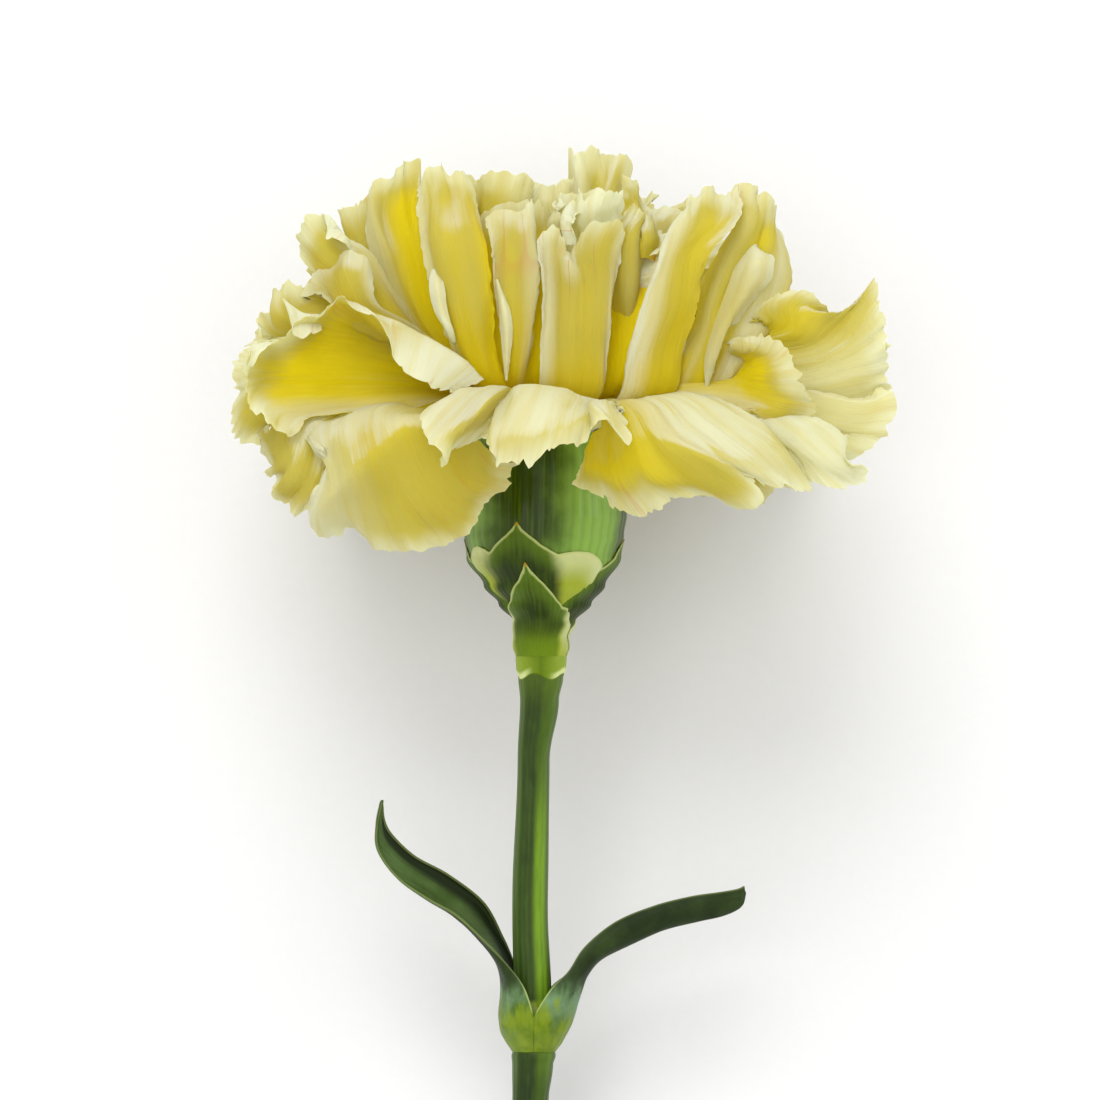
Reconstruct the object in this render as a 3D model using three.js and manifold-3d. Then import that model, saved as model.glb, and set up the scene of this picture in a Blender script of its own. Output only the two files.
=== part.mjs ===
// A cut carnation lying on a flat surface: one double yellow bloom in its green calyx, with scale-like
// bracts round the calyx foot, a stem with one swollen joint, and the pair of leaves of that joint.
//
// Lengths are millimetres. The flower is described upright, as [x, h, d]: x to the right, h up along the
// stem from the foot of the calyx, and d towards the side that faces up once the flower is laid down.
// lay() then tips it onto the surface, where it rests on the petals below the bloom and on its cut end.
import * as THREE from "three";
import { mergeVertices } from "three/addons/utils/BufferGeometryUtils.js";
import Module from "manifold-3d";

const wasm = await Module();
wasm.setup();

// ---------- Driving dimensions ----------
const TILT = THREE.MathUtils.degToRad(10.5); // the stem's slope from its cut end up to the bloom
const CUT_H = -95; // where the stem is cut
const CUT_SLANT = 3; // how much further the stem runs on its lower side, from the slanted cut
const CUT_RADIUS = 2.05;
const MOUTH_H = 25.3; // where the petals leave the calyx
const CORE_FOOT_H = 11;
const CALYX_FOOT_H = 0.3;
const CALYX_RIM_H = 22; // between the five teeth
const CALYX_TOOTH = 2;
const CALYX_WALL = 1.1;
const SEAT_GAP = 0.3; // between pieces that touch
const PETAL_THICKNESS = 0.7;
const LEAF_THICKNESS = 0.8;
const TUBE_SIDES = 20;
const SIMPLER = 0.135; // how far the simplified surface may lie from the full one
const GRID = 0.002;
const DRAW_BACK = 0.02;
const WELD = 1e-4; // corners closer than this are one

// The height of the stem's centreline over the surface at h = 0.
const RISE = -CUT_H * Math.sin(TILT) + CUT_RADIUS * Math.cos(TILT);

// ---------- Petals ----------
// Each petal is a fan of ribs. They leave the calyx side by side, and pass through the rows of points, which
// run from one side of the petal to the other. The last row is its rim.
// root: azimuth in degrees (0 right, 90 up when laid down), distance from the axis, width in degrees.
const FRONT_PETALS = [
  { name: "skirt_left", root: [120, 5.6, 34], rows: [
    [[-22.8, 24.3, 13], [-20, 25.1, 13], [-15.5, 25.3, 14], [-11.5, 24.4, 15], [-7, 25.6, 14]],
    [[-21.6, 20.2, 19], [-20.6, 17, 22], [-18.8, 18.6, 23.4], [-16, 21, 23.8], [-13.2, 23.2, 22.8],
      [-10, 23, 21], [-6, 22.4, 19.5]],
    [[-22, 16, 19.5], [-21.4, 14.8, 20.5], [-18.8, 15.5, 21.5], [-15.8, 15.8, 22], [-12.5, 16, 21.6],
      [-9.2, 16.5, 20.6], [-6, 18, 19.4], [-3.7, 19.8, 18]],
    [[-21.9, 15.2, 18.5], [-21.7, 13, 17.5], [-20, 12.9, 17.8], [-18.3, 13.1, 18.5], [-16.8, 12.3, 19],
      [-15.2, 11.3, 19.2], [-12.8, 11.1, 19.3], [-10, 11.6, 18.6], [-7.8, 12.5, 18], [-6, 14, 18],
      [-4.9, 15.4, 17.8], [-3.2, 17, 17.4], [-2.8, 18.2, 17], [-1.7, 19.5, 16]]] },
  { name: "lobe_left", root: [104, 5.8, 22], rows: [
    [[-7.4, 26.3, 15], [-5.6, 27.1, 17], [-3.7, 27, 19.5], [-2.9, 26.4, 17.5], [-2.4, 26.4, 16]],
    [[-10.2, 25.3, 20.5], [-9.1, 25.3, 23.5], [-7.6, 24.7, 26], [-6.3, 24.1, 28], [-5.6, 23, 25.6],
      [-4.8, 23.6, 24]],
    [[-11.2, 24.4, 22], [-11.3, 23.2, 24.5], [-10.7, 21.6, 27.2], [-10, 20.4, 29], [-9.4, 19.2, 26.8],
      [-8.7, 19.8, 25.6], [-7.2, 21, 25], [-5.8, 22.3, 24.5]]] },
  { name: "lobe_middle", root: [88, 5.8, 30], rows: [
    [[-3.2, 26.9, 15], [-1.2, 27.2, 17.5], [1.5, 27, 18], [4, 26.3, 17.5], [6.4, 25.2, 16]],
    [[-4, 25, 21.5], [-2, 25.8, 25], [0.8, 25.6, 26.5], [3.5, 24.8, 25.5], [5.4, 24.2, 22.5]],
    [[-5.3, 22.8, 25.8], [-3.7, 22.4, 28.5], [-1.4, 22.2, 30], [1.2, 22.8, 30], [3.5, 23.2, 28],
      [5.2, 23.6, 24.5]],
    [[-5.8, 22.3, 26], [-5.1, 21.4, 28], [-4.7, 20.4, 29.4], [-4.2, 19.3, 29.5], [-3.4, 19.6, 30],
      [-2.6, 19.3, 30.4], [-1.6, 19.7, 31], [-0.8, 19.3, 31], [0, 20, 31], [1, 20.8, 30.6],
      [2, 21.3, 30.2], [3.3, 21.2, 29.2], [4.1, 21.4, 28.2], [4.8, 22.6, 26.5], [5.5, 23.6, 24]]] },
  { name: "lobe_small", root: [74, 5.8, 14], rows: [
    [[4.8, 25.7, 15.5], [6, 25.6, 17.5], [7.4, 25.5, 16]],
    [[4.2, 23.5, 23], [5.2, 24.9, 25], [6.6, 25, 25.5], [7.9, 24.7, 22.5]],
    [[4, 21.8, 26.5], [4.8, 22.6, 27.5], [5.7, 23.7, 28], [6.9, 23.8, 28.6], [8.1, 22.6, 28.4],
      [8.9, 21.7, 27.4], [9.2, 22.4, 26.4], [8.8, 23.3, 24.5], [8.1, 24.9, 20.5]]] },
  { name: "skirt_right", root: [64, 5.8, 30], rows: [
    [[5.6, 23.2, 13], [7.4, 24.7, 15], [9.3, 25.3, 17.2], [12.5, 25.9, 15.2], [16.2, 26.3, 13]],
    [[4.6, 20.8, 16.5], [7, 21.2, 19], [10, 22, 22], [13.2, 21.8, 24], [17.2, 23.4, 21],
      [21.2, 23.7, 17]],
    [[3.7, 19.2, 18.3], [6.1, 18.6, 20.3], [9.2, 18, 22], [12.6, 18.6, 23.8], [16.2, 19.7, 25.6],
      [19.8, 19.4, 26], [23.2, 20.4, 22], [25.2, 20.4, 18]],
    [[3.1, 17.8, 19], [5, 16.9, 20], [6.5, 16.2, 20.5], [8.2, 14.8, 20.5], [10, 14.2, 21],
      [11.5, 15, 21.8], [13.2, 16, 22.3], [15.2, 16.2, 23], [17.2, 15.7, 23.5], [19.5, 15, 24],
      [20.9, 15.5, 24.6], [21.8, 17, 25.2], [19.9, 18.8, 26.2], [22.6, 17.3, 25], [24.6, 17.4, 23.5],
      [26, 17.1, 22], [27.3, 17.1, 20.5], [26.9, 18.2, 19], [26, 19.7, 17]]] },
  { name: "low_right", root: [38, 5.8, 20], rows: [
    [[16, 24.8, 11], [19, 25.5, 12], [22.2, 25.8, 10]],
    [[21.8, 22.2, 15.4], [23.6, 22.8, 16], [25.6, 23.2, 16.6], [27.8, 24, 15.4]],
    [[24.5, 20.6, 17], [26.6, 20.2, 18.4], [28.6, 20.8, 18], [30.8, 22.2, 15.6]],
    [[25.8, 19.2, 17.4], [27.2, 17.7, 18.4], [29, 17.3, 18.6], [30.8, 17.1, 18.8], [31.7, 17.7, 18.6],
      [32.3, 18.2, 18.2], [31.3, 19.2, 18.4], [30.5, 20, 18], [30.6, 21.3, 16.4]]] },
  { name: "out_right", root: [24, 5.8, 22], rows: [
    [[17.2, 25.8, 9], [19.5, 27, 10.5], [20.8, 28.4, 9]],
    [[25.8, 22.2, 13.4], [27.2, 23.6, 14.8], [28.2, 25.2, 14], [28.6, 27, 13]],
    [[29, 21, 14], [31, 22.4, 15.4], [31.8, 24.4, 14.4], [32.2, 26.6, 13]],
    [[30.3, 20.6, 13.6], [31.2, 20.5, 13.8], [32.8, 21.1, 14.4], [33.7, 21.8, 14.6], [34.5, 22.5, 14.4],
      [34.2, 23.2, 14.2], [35, 24, 13.8], [35.1, 25.2, 13], [34.9, 26, 12.6], [34.1, 26.9, 12.4],
      [34.4, 28, 12]]] },
  { name: "up_right", root: [14, 5.6, 26], rows: [
    [[16.6, 26.6, 9], [18.2, 28.8, 9.6], [19, 30.8, 9.4], [18.4, 32, 8.6]],
    [[26, 26, 11.2], [27.2, 28.2, 12], [27.2, 30.8, 12.2], [25.2, 32.8, 12.8], [21.8, 33.8, 11.8]],
    [[31, 25.7, 11.8], [32.2, 28.4, 12.6], [32.2, 31.4, 12], [29.8, 32.5, 11.4], [27.4, 34.2, 12.8],
      [24.2, 35.4, 12.8], [20, 33.6, 11.2]],
    [[34, 25.6, 11.2], [34.8, 26.8, 11.8], [34.6, 27.7, 12.2], [34.1, 28.4, 11.4], [34.7, 29.2, 11.8],
      [34.2, 31, 12.2], [34.5, 31.9, 11.8], [34, 32.9, 11], [34.2, 34, 10.8], [33.5, 35.7, 10.2],
      [33.4, 37, 10], [33, 37.9, 9.8], [32.4, 36.7, 10.2], [31.3, 35.3, 10.6], [30.5, 34.9, 10.8],
      [29.2, 34, 11], [28, 35.6, 12.2], [26.3, 36.7, 12.2], [24.5, 36.5, 12.2], [22.7, 35.8, 12],
      [20.5, 34.5, 11.2], [18.2, 32.4, 10]]] },
  { name: "cup_right", root: [44, 5.6, 22], rows: [
    [[12.8, 25.8, 12.5], [13.6, 27.6, 11.5], [14.4, 29.4, 9]],
    [[19.2, 24.8, 15], [19.4, 27.2, 12.2], [18.8, 29.4, 10.6], [18.2, 30.8, 10.6]],
    [[22.8, 23.6, 17.2], [24.2, 25.8, 17.8], [23.6, 28.6, 17], [22, 30.8, 15.4], [19, 31.2, 12.8]],
    [[23.8, 22.8, 15.6], [25.6, 23.4, 16.6], [27.2, 24.8, 17], [26.4, 26.4, 17.6], [25.7, 28.2, 17.8],
      [24.9, 30, 17.4], [23.8, 31.5, 16.4], [22, 32.2, 15], [20, 31.9, 13.2], [18.2, 31.4, 11.6]]] },
  { name: "sail_right", root: [62, 5.2, 34], rows: [
    [[8.1, 25.5, 13.6], [9.3, 26.2, 14], [11, 26.4, 13.8], [13.2, 26.4, 12.4]],
    [[10, 30, 14], [11, 30.8, 15], [12.6, 31.4, 15], [14.6, 31.8, 13.4]],
    [[11.3, 34.2, 14.6], [12.4, 34.8, 15.4], [13.8, 35.4, 15.2], [15.6, 36, 13.8]],
    [[10.3, 36, 15], [12, 36.4, 15.8], [13.8, 36.8, 15.4], [15.8, 37.6, 13.8]],
    [[11.6, 39, 14.8], [12.8, 39.6, 15.6], [14.4, 40.2, 15.2], [16.6, 41, 13.8]],
    [[12.7, 42.2, 13.8], [13.8, 43.2, 14.6], [15.4, 43.4, 14.2], [17.6, 43.8, 13.2], [19.8, 44.2, 12]],
    [[13.2, 43, 13.4], [14.4, 44.6, 13.6], [14.9, 45.7, 12.8], [14.6, 46.3, 12.6], [15.6, 46, 12.8],
      [16.3, 46.9, 12.2], [17.2, 47.2, 11.8], [18, 46.3, 11.2], [18.9, 46.5, 10.8], [19.8, 47.3, 10.2]]] },
  { name: "fold_right", root: [70, 5.6, 16], rows: [
    [[7.7, 25.8, 13.6], [8.5, 26.1, 14.4], [9.3, 26.4, 13.6]],
    [[8.8, 28.2, 14.4], [9.7, 29.6, 15.6], [10.8, 31, 15]],
    [[9, 29, 14.4], [9, 30.5, 14.8], [9.6, 32, 15], [10.1, 33, 15.2], [11.1, 34.1, 15.4],
      [12, 33.8, 14.6]]] },
  { name: "sail_far_right", root: [40, 5, 30], rows: [
    [[12.4, 26.8, 9.2], [15, 27, 9.8], [16.6, 27.2, 9.6], [18.2, 27.8, 8.6]],
    [[14, 30.4, 9.3], [16.4, 30.8, 10.8], [17.6, 31, 11], [19.6, 31.8, 9.6], [22.6, 32.4, 9]],
    [[15, 35.8, 9.4], [17.2, 35.8, 11.4], [18.8, 36, 10.3], [20.6, 36, 10.7], [23, 35.8, 9.6]],
    [[17.2, 40.8, 9.1], [19.7, 41.2, 11], [21, 40.6, 9.7], [22.4, 40.2, 10.4], [24.8, 38.8, 8.7]],
    [[19, 43.8, 9.5], [20.5, 43.6, 10.9], [21.8, 43, 9.8], [22.8, 42.4, 10.3], [24.4, 41.4, 8.7]],
    [[18.7, 46.3, 8.1], [19.8, 47.3, 8.4], [20.8, 47.1, 8], [21.2, 46.2, 7.7], [22.1, 46.3, 8.1],
      [23, 46, 8], [23.2, 45.4, 7.6], [23.9, 45.2, 7.3], [24, 43.8, 7.1], [24.3, 42, 7],
      [24.8, 40.4, 6.6], [25.2, 39.6, 6.4], [25.1, 38.4, 6.3], [25.2, 36.8, 5.6]]] },
  { name: "centre_front", root: [85, 5.6, 60], rows: [
    [[0, 27.1, 13.6], [1.6, 26.8, 14.3], [3.6, 26.4, 14.4], [5.4, 26.1, 14.2], [6.4, 27.2, 13.4]],
    [[0.1, 32.4, 14.6], [1.8, 32, 15.1], [4, 31.8, 15.1], [5.8, 31.5, 14.9], [6.7, 32.8, 14.4]],
    [[0.2, 37.6, 14.1], [2, 37.5, 14.4], [4, 38, 14.3], [6, 37.5, 14.2], [7.4, 37.6, 13.8]],
    [[0, 40.2, 13.8], [1.2, 40.6, 14.2], [2.5, 39.8, 14], [3.7, 39.2, 13.8], [5, 40.8, 14.3],
      [6.6, 41, 14.3], [8.1, 39.8, 13.7]],
    [[0, 41.5, 13.7], [0.4, 42.5, 13.9], [1.3, 43.2, 13.9], [2, 42.4, 13.8], [2.6, 40.8, 13.8],
      [3.2, 39.7, 13.6], [3.7, 39.5, 13.5], [4.2, 41, 13.7], [4.6, 42.7, 14], [5.4, 43.4, 14.2],
      [6.6, 43.5, 14.2], [7.4, 43.7, 14.1], [8.1, 43.3, 13.9], [8.3, 41.8, 13.8], [8.1, 40.4, 13.6]]] },
  { name: "crown_front", root: [85, 4.6, 44], rows: [
    [[0.5, 33, 8], [3.5, 33.2, 9], [6.5, 33, 8]],
    [[0.8, 39.8, 9], [4, 39.8, 10], [7.2, 39.8, 9]],
    [[1, 45.8, 8.5], [2, 46.3, 9], [3.5, 46.2, 9.5], [5.5, 46.6, 9.5], [7.2, 46.3, 9.4],
      [8.6, 45.8, 8.6]]] },
  { name: "centre_narrow", root: [108, 5.4, 24], rows: [
    [[-3.5, 27.3, 12.7], [-2.8, 27.5, 13.2], [-2.1, 27.5, 13.2], [-1.6, 27.4, 12.8]],
    [[-3.8, 32, 13.6], [-2.9, 31.5, 14.3], [-1.8, 31.5, 14.3], [-0.9, 31.8, 13.6]],
    [[-4.2, 37.4, 13.5], [-3.3, 37, 14.1], [-1.5, 37, 14.3], [-0.2, 37, 13.5]],
    [[-4.5, 41.5, 13.2], [-3.4, 41.7, 13.7], [-1.5, 41.7, 13.8], [-0.2, 42.2, 13]],
    [[-4.9, 43.7, 12.4], [-4.4, 44.3, 12.6], [-3.8, 44.6, 12.7], [-3, 44.7, 12.8], [-2.2, 44.3, 12.9],
      [-1.6, 44.7, 12.7], [-1.1, 45.5, 12.6], [-0.5, 46, 12.2]]] },
  { name: "centre_left", root: [128, 5.6, 42], rows: [
    [[-7.2, 28.2, 12.1], [-6, 27.6, 13], [-4.5, 27.2, 13.3], [-3.2, 27.3, 12.7]],
    [[-9.4, 32.2, 13.4], [-7.8, 31.8, 14.4], [-6, 31.5, 14.5], [-4.5, 31.5, 13.7]],
    [[-10.8, 37, 13.8], [-9.2, 37.2, 14.7], [-7, 37, 14.9], [-5.1, 36.8, 13.9]],
    [[-11.8, 41.5, 13.4], [-10.2, 42, 14.3], [-8, 42, 14.5], [-5.6, 42, 13.5]],
    [[-11.9, 44.4, 12.5], [-10.6, 45.5, 13.1], [-9.2, 44.8, 12.8], [-7.7, 44.2, 13.4], [-6, 44.8, 12.6]],
    [[-12, 46.8, 11.3], [-11.6, 47.4, 11.5], [-11.2, 49, 11.7], [-10, 49.2, 11.8], [-9.7, 49.5, 11.8],
      [-9, 48.2, 11.7], [-8.4, 48.7, 11.8], [-7.6, 48.7, 11.9], [-6.3, 47.6, 11.7]]] },
  { name: "sail_left", root: [140, 5.2, 34], rows: [
    [[-10.4, 29, 8.8], [-8.5, 28.8, 9.4], [-7, 29, 9.5], [-6, 29.8, 8.8]],
    [[-14.6, 34.2, 7.4], [-12.6, 34.2, 8.3], [-11, 34.6, 8.7], [-9.6, 35.2, 8.4]],
    [[-17, 40.2, 5.7], [-15.2, 40.4, 6.8], [-13.6, 40.2, 6.7], [-12.2, 40.6, 7.3], [-11, 39.8, 7.1]],
    [[-18, 44.4, 4.1], [-16.8, 45, 5.1], [-15.4, 44.8, 4.6], [-13.8, 45.2, 5.6], [-12.8, 44.8, 5.3],
      [-11.9, 44.6, 6]],
    [[-18, 45.7, 3.3], [-17.7, 47, 3.6], [-16.8, 47.9, 4], [-16, 48.2, 3.9], [-14.9, 48.2, 3.9],
      [-14.6, 49.2, 4.2], [-14.1, 49.4, 4.3], [-13.8, 50, 4.5], [-13, 49.9, 4.5], [-12.3, 50.2, 4.9],
      [-12.1, 48.5, 5.2], [-12, 46.8, 5.4]]] },
  { name: "ear_left", root: [150, 5.6, 26], rows: [
    [[-13.6, 30.8, 8], [-12.8, 32.2, 9], [-12.4, 33.8, 7]],
    [[-19, 34.2, 8], [-18.4, 36.6, 9.4], [-17.8, 39, 9], [-17.2, 41, 7.4]],
    [[-22.4, 36.6, 7.4], [-21.8, 39.2, 9], [-20.8, 41.2, 9.2], [-19, 42.4, 7.4]],
    [[-23.9, 36.5, 6.4], [-23.3, 37.6, 7.2], [-23.1, 39, 7.6], [-24, 40.2, 7], [-24.3, 41.8, 7.4],
      [-23.9, 42.9, 7.8], [-23.5, 43.1, 8], [-23.2, 44.3, 8.2], [-22.7, 44.5, 8.6], [-21.8, 44.3, 9],
      [-21, 43.8, 8.8], [-20.2, 43.4, 8]]] },
  { name: "sail_far_left", root: [156, 5, 28], rows: [
    [[-13.5, 32.2, 5.6], [-12.5, 33, 6.6], [-11.6, 33.8, 6]],
    [[-17.4, 37.8, 4.6], [-15.8, 38.8, 5.4], [-14, 39.8, 4.8]],
    [[-19.8, 41.4, 3.4], [-18.2, 42.6, 4.8], [-16.2, 43.4, 4]],
    [[-20.9, 43.4, 2.2], [-20.6, 44.8, 3], [-19.9, 45.2, 3.6], [-18.9, 45.2, 3.8], [-18, 45.5, 4],
      [-17.4, 46.1, 3.8], [-16.6, 46.8, 3]]] },
  { name: "curl_left", root: [138, 5.6, 26], rows: [
    [[-14.4, 31, 10.2], [-13, 32.2, 11], [-11.6, 32.6, 10.2]],
    [[-19.4, 33.6, 10.3], [-17.6, 35, 12], [-16, 35.2, 11.7]],
    [[-21.6, 36.4, 9.4], [-19.4, 38.4, 11.6], [-16.6, 37.4, 11.8]],
    [[-23.7, 36.3, 8.1], [-22.4, 38.7, 8.7], [-21.2, 39.8, 9.4], [-20.3, 40.5, 9.8],
      [-19.3, 40.7, 10.2], [-18, 40.3, 10.5], [-17, 39.2, 10.8], [-16.6, 38.4, 11]]] },
  { name: "edge_left", root: [166, 5.6, 24], rows: [
    [[-15.2, 30.4, 5.4], [-14.8, 31.6, 6.2], [-14.4, 33, 5]],
    [[-22.2, 31.6, 6], [-22, 33.6, 7.4], [-21.2, 36, 6.4]],
    [[-26.6, 31.6, 5], [-25.6, 34, 6.8], [-23.8, 36, 6.6]],
    [[-29.7, 31.1, 3.6], [-28.4, 31.9, 4.4], [-28, 33.4, 5], [-28.1, 34.4, 5.2], [-27.4, 34.5, 5.8],
      [-26.9, 35, 6], [-26.6, 35.9, 5.8], [-26, 36.9, 6], [-25.3, 36.7, 6.4], [-24.7, 37.7, 6.6],
      [-24.3, 37.4, 6.8], [-23.8, 36.8, 6.8], [-23, 37.6, 6]]] },
  { name: "out_left", root: [160, 5.8, 26], rows: [
    [[-16, 28.2, 6.4], [-15.6, 29.6, 7.2], [-15.4, 31.2, 6]],
    [[-24.2, 25, 8], [-24.4, 28.2, 9], [-23.6, 31, 7]],
    [[-28.2, 22.6, 9], [-28.6, 27.2, 10], [-27.8, 30.6, 8]],
    [[-28, 21.2, 9.4], [-29.3, 21.5, 9.4], [-30, 21.6, 9.4], [-30.7, 22.3, 9.2], [-30.6, 24, 9],
      [-30.1, 26.4, 8.8], [-30.7, 27.2, 8.8], [-30.7, 29.5, 8], [-30.4, 30.3, 7.4], [-29.9, 31.1, 7],
      [-28.6, 31.6, 6]]] },
  { name: "hollow_left", root: [130, 5.8, 36], rows: [
    [[-9.4, 25.8, 11.5], [-11.2, 26.6, 10], [-11.8, 28, 9.4], [-11.4, 29.2, 9], [-10, 29.4, 9.4],
      [-8.4, 28.8, 10.6], [-6.8, 27.8, 11.6]],
    [[-16.8, 24.8, 14], [-19.4, 26.2, 12], [-20.6, 28.4, 11], [-19.6, 30.8, 10.4], [-17, 32.2, 10.4],
      [-14, 31.6, 11.4], [-11, 29.8, 12.2], [-8.2, 28, 12.8]],
    [[-23, 24.2, 15.4], [-25.2, 24, 15], [-27.4, 25.8, 14.4], [-28.1, 27.6, 13.8], [-27.7, 29.4, 13],
      [-26.4, 31, 12.2], [-24.4, 32.4, 11.6], [-22, 33.8, 12], [-19.5, 35.7, 13], [-17, 35, 14.4],
      [-14, 33.9, 15.2], [-10, 31.1, 15], [-5.6, 28.1, 13.6]],
    [[-23.8, 22.6, 16.6], [-25.2, 22.2, 16.8], [-26.6, 23, 16.6], [-27.9, 24, 16.4],
      [-28.8, 25.5, 15.6], [-29.1, 27.8, 15], [-29, 29.6, 14.6], [-28.4, 31, 14], [-27.2, 31.6, 13.4],
      [-25.6, 32.2, 13], [-24, 33.6, 13], [-21.6, 34.2, 13.6], [-20, 36.2, 14.4], [-18.6, 35.2, 15.8],
      [-16.5, 34.1, 17.2], [-14.8, 32.4, 18.2], [-14, 30.5, 18.8], [-12, 28.1, 18.6], [-10.9, 26.9, 18],
      [-8.4, 26.6, 16.4]]] },
  { name: "low_left", root: [142, 5.8, 24], rows: [
    [[-13.6, 25.6, 11.4], [-15.4, 26.4, 10], [-16.8, 27.4, 8.6]],
    [[-20.2, 21.4, 15.6], [-22.8, 23, 14.6], [-24.6, 24.8, 12]],
    [[-21.4, 17.8, 17.4], [-24.4, 18.6, 16], [-26.8, 21.4, 12.6]],
    [[-21.4, 15.7, 17], [-22.4, 15.2, 16.6], [-23.5, 14.8, 16], [-24.3, 14.4, 15.4], [-25.1, 15.4, 15],
      [-26, 15.6, 14.4], [-26.9, 16, 13.8], [-27.1, 17, 13.6], [-26.7, 18.2, 13.4], [-27.5, 18.2, 12.4],
      [-28, 18.9, 12], [-28.3, 20.2, 10.8], [-28.3, 21.6, 9.4]]] },
  { name: "crown_crumple", root: [68, 4.8, 30], rows: [
    [[6.8, 30.8, 8], [8.2, 31.2, 9.6], [9.6, 31.5, 8]],
    [[8.4, 36.8, 8.4], [9.4, 37.2, 11], [10.7, 37.6, 8.4]],
    [[8.1, 41.6, 9], [9.6, 42.2, 11.4], [11.6, 41.8, 8]],
    [[8.2, 44.6, 8.6], [9, 45.4, 10], [10, 44.5, 10.8], [10.8, 43.8, 9], [11.6, 43.2, 8],
      [12.7, 42.8, 6.4]]] },
  { name: "crown_left", root: [125, 4.2, 36], rows: [
    [[-6, 33, 7.2], [-4.8, 33.2, 8], [-3.5, 33, 7.2]],
    [[-8.5, 42, 7.8], [-7, 42.2, 9.4], [-5, 42, 8.2]],
    [[-9.2, 47.6, 7.1], [-8.8, 48.2, 7.4], [-8.4, 48.8, 7.8], [-7.6, 48.8, 8.3], [-6.8, 48.2, 8.1],
      [-6.1, 47.7, 8], [-5.2, 48.2, 7.5]]] },
  { name: "crown_mid_left", root: [105, 4, 36], rows: [
    [[-4, 33, 7.3], [-2.8, 33.2, 8.2], [-1.4, 33, 7.5]],
    [[-6, 41.5, 8.5], [-4, 42, 10], [-1.8, 41.8, 9.1]],
    [[-6.1, 47.6, 7.9], [-5.4, 48.1, 8.3], [-4.3, 48.3, 8.8], [-3.2, 48.5, 9.1], [-2.2, 48.5, 8.9],
      [-1.8, 47.8, 8.7], [-1.2, 48.1, 8.6], [-0.5, 47.2, 8.1]]] },
  { name: "crown_mid", root: [92, 3.6, 30], rows: [
    [[-1.2, 33, 7.2], [-0.2, 33.2, 7.9], [0.8, 33, 7.2]],
    [[-1.4, 41.5, 8.3], [0, 42, 9.5], [1.8, 41.8, 8.6]],
    [[-0.9, 46.6, 7.1], [-0.4, 47.2, 7.6], [0.4, 47.5, 8], [1.1, 47, 7.6], [2, 47.2, 7.3],
      [2.7, 47.9, 6.5]]] },
  { name: "crown_right", root: [55, 3.8, 40], rows: [
    [[7, 34.8, 3], [8.6, 35, 3.7], [10.4, 34.4, 2.3]],
    [[8, 42.8, 4.2], [10, 43.2, 5.9], [12.8, 42.2, 3.8]],
    [[8.6, 48.4, 2.4], [9.4, 47.9, 3.3], [10.2, 47.4, 3.4], [10.8, 46.7, 3], [11.6, 45.9, 2.8],
      [12.8, 45.7, 2.3], [13.8, 44.9, 1.7], [14.8, 44.4, 0.7]]] },
  { name: "crown_top", root: [80, 2.2, 80], rows: [
    [[1.8, 36, 1], [4.2, 36, 3.4], [6.6, 36, 1.5]],
    [[2.2, 44.5, 1], [3.8, 44.8, 4.4], [5.2, 44.4, 3], [6.6, 44.8, 4.8], [8.4, 44.2, 2.5]],
    [[2.6, 48, -0.5], [2.6, 50.8, 0], [3, 51.1, 0.8], [3.7, 50.5, 1.8], [4.4, 50.9, 1.4],
      [5.3, 51.2, 2.2], [6, 50.8, 2.8], [7.2, 50.5, 1.6], [8, 50.6, 1.6], [8.6, 50.2, 0.6],
      [8.9, 48.4, -0.5]]] },
  { name: "deep_right", root: [58, 4.6, 34], rows: [
    [[5.8, 27.2, 11.4], [7.6, 27.4, 12], [10, 28, 11.6]],
    [[6.2, 33.8, 11.6], [8.6, 34.2, 12.4], [12.8, 34.6, 12.2]],
    [[6, 39.8, 9.4], [7.4, 41, 9.8], [9.4, 42, 10], [11.8, 41.4, 10], [15, 39.8, 9.6]]] },
  { name: "deep_middle", root: [100, 4.6, 34], rows: [
    [[-5, 27.6, 11.4], [-2, 27.6, 12], [0.5, 27.6, 11.6]],
    [[-6, 36, 12], [-2.5, 36, 12.4], [1.2, 36, 12]],
    [[-6.6, 43.6, 10], [-5.2, 44.8, 10.4], [-3.6, 45.4, 10.6], [-2, 45.6, 10.6], [0, 45.4, 10.4],
      [1.6, 44.6, 10]]] },
];

// The petals of the side that lies on the surface and the hidden ones of the middle, in rings: the azimuth of
// each, how steeply they rise, how far they reach, and how far from the axis they spring.
const RINGS = [
  { azimuths: [198, 228, 258, 288, 318, 342], rise: -11, reach: 28, root: 5.6 },
  { azimuths: [192, 226, 260, 294, 328], rise: 10, reach: 30, root: 5.4 },
  { azimuths: [200, 235, 270, 305, 340], rise: 32, reach: 28, root: 5 },
  { azimuths: [188, 226, 264, 302, 346], rise: 52, reach: 26, root: 4.4 },
  { azimuths: [200, 250, 300], rise: 68, reach: 22.5, root: 3.2 },
  { azimuths: [45, 170, 310], rise: 78, reach: 19.5, root: 1.6 },
];
const RING_ROWS = 3;
const RIM_POINTS = 7;
const PETAL_HALF_WIDTH = 11.5;
const WIDEST_HALF_FAN = 52; // degrees round the axis
const RIM_ROUNDING = 0.14; // how much shorter a petal is at its sides than in the middle
const TOOTH = 0.55;
const WAVE = 2.2; // how far a rim swings up and down
const FEWEST_WAVES = 1.1; // in one rim
const MOST_WAVES = 1.9;
const RISE_SPREAD = 10; // degrees between the steepest and the flattest petals of a ring
const ROOT_WIDTH = 32; // degrees round the axis
const MID_REACH = 0.52; // how far out the middle points are, as a share
const MID_FAN = 0.9; // how wide the fan is there, as a share
const ARCH = 0.1; // how far a petal bows up half way out, as a share of its reach

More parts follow.
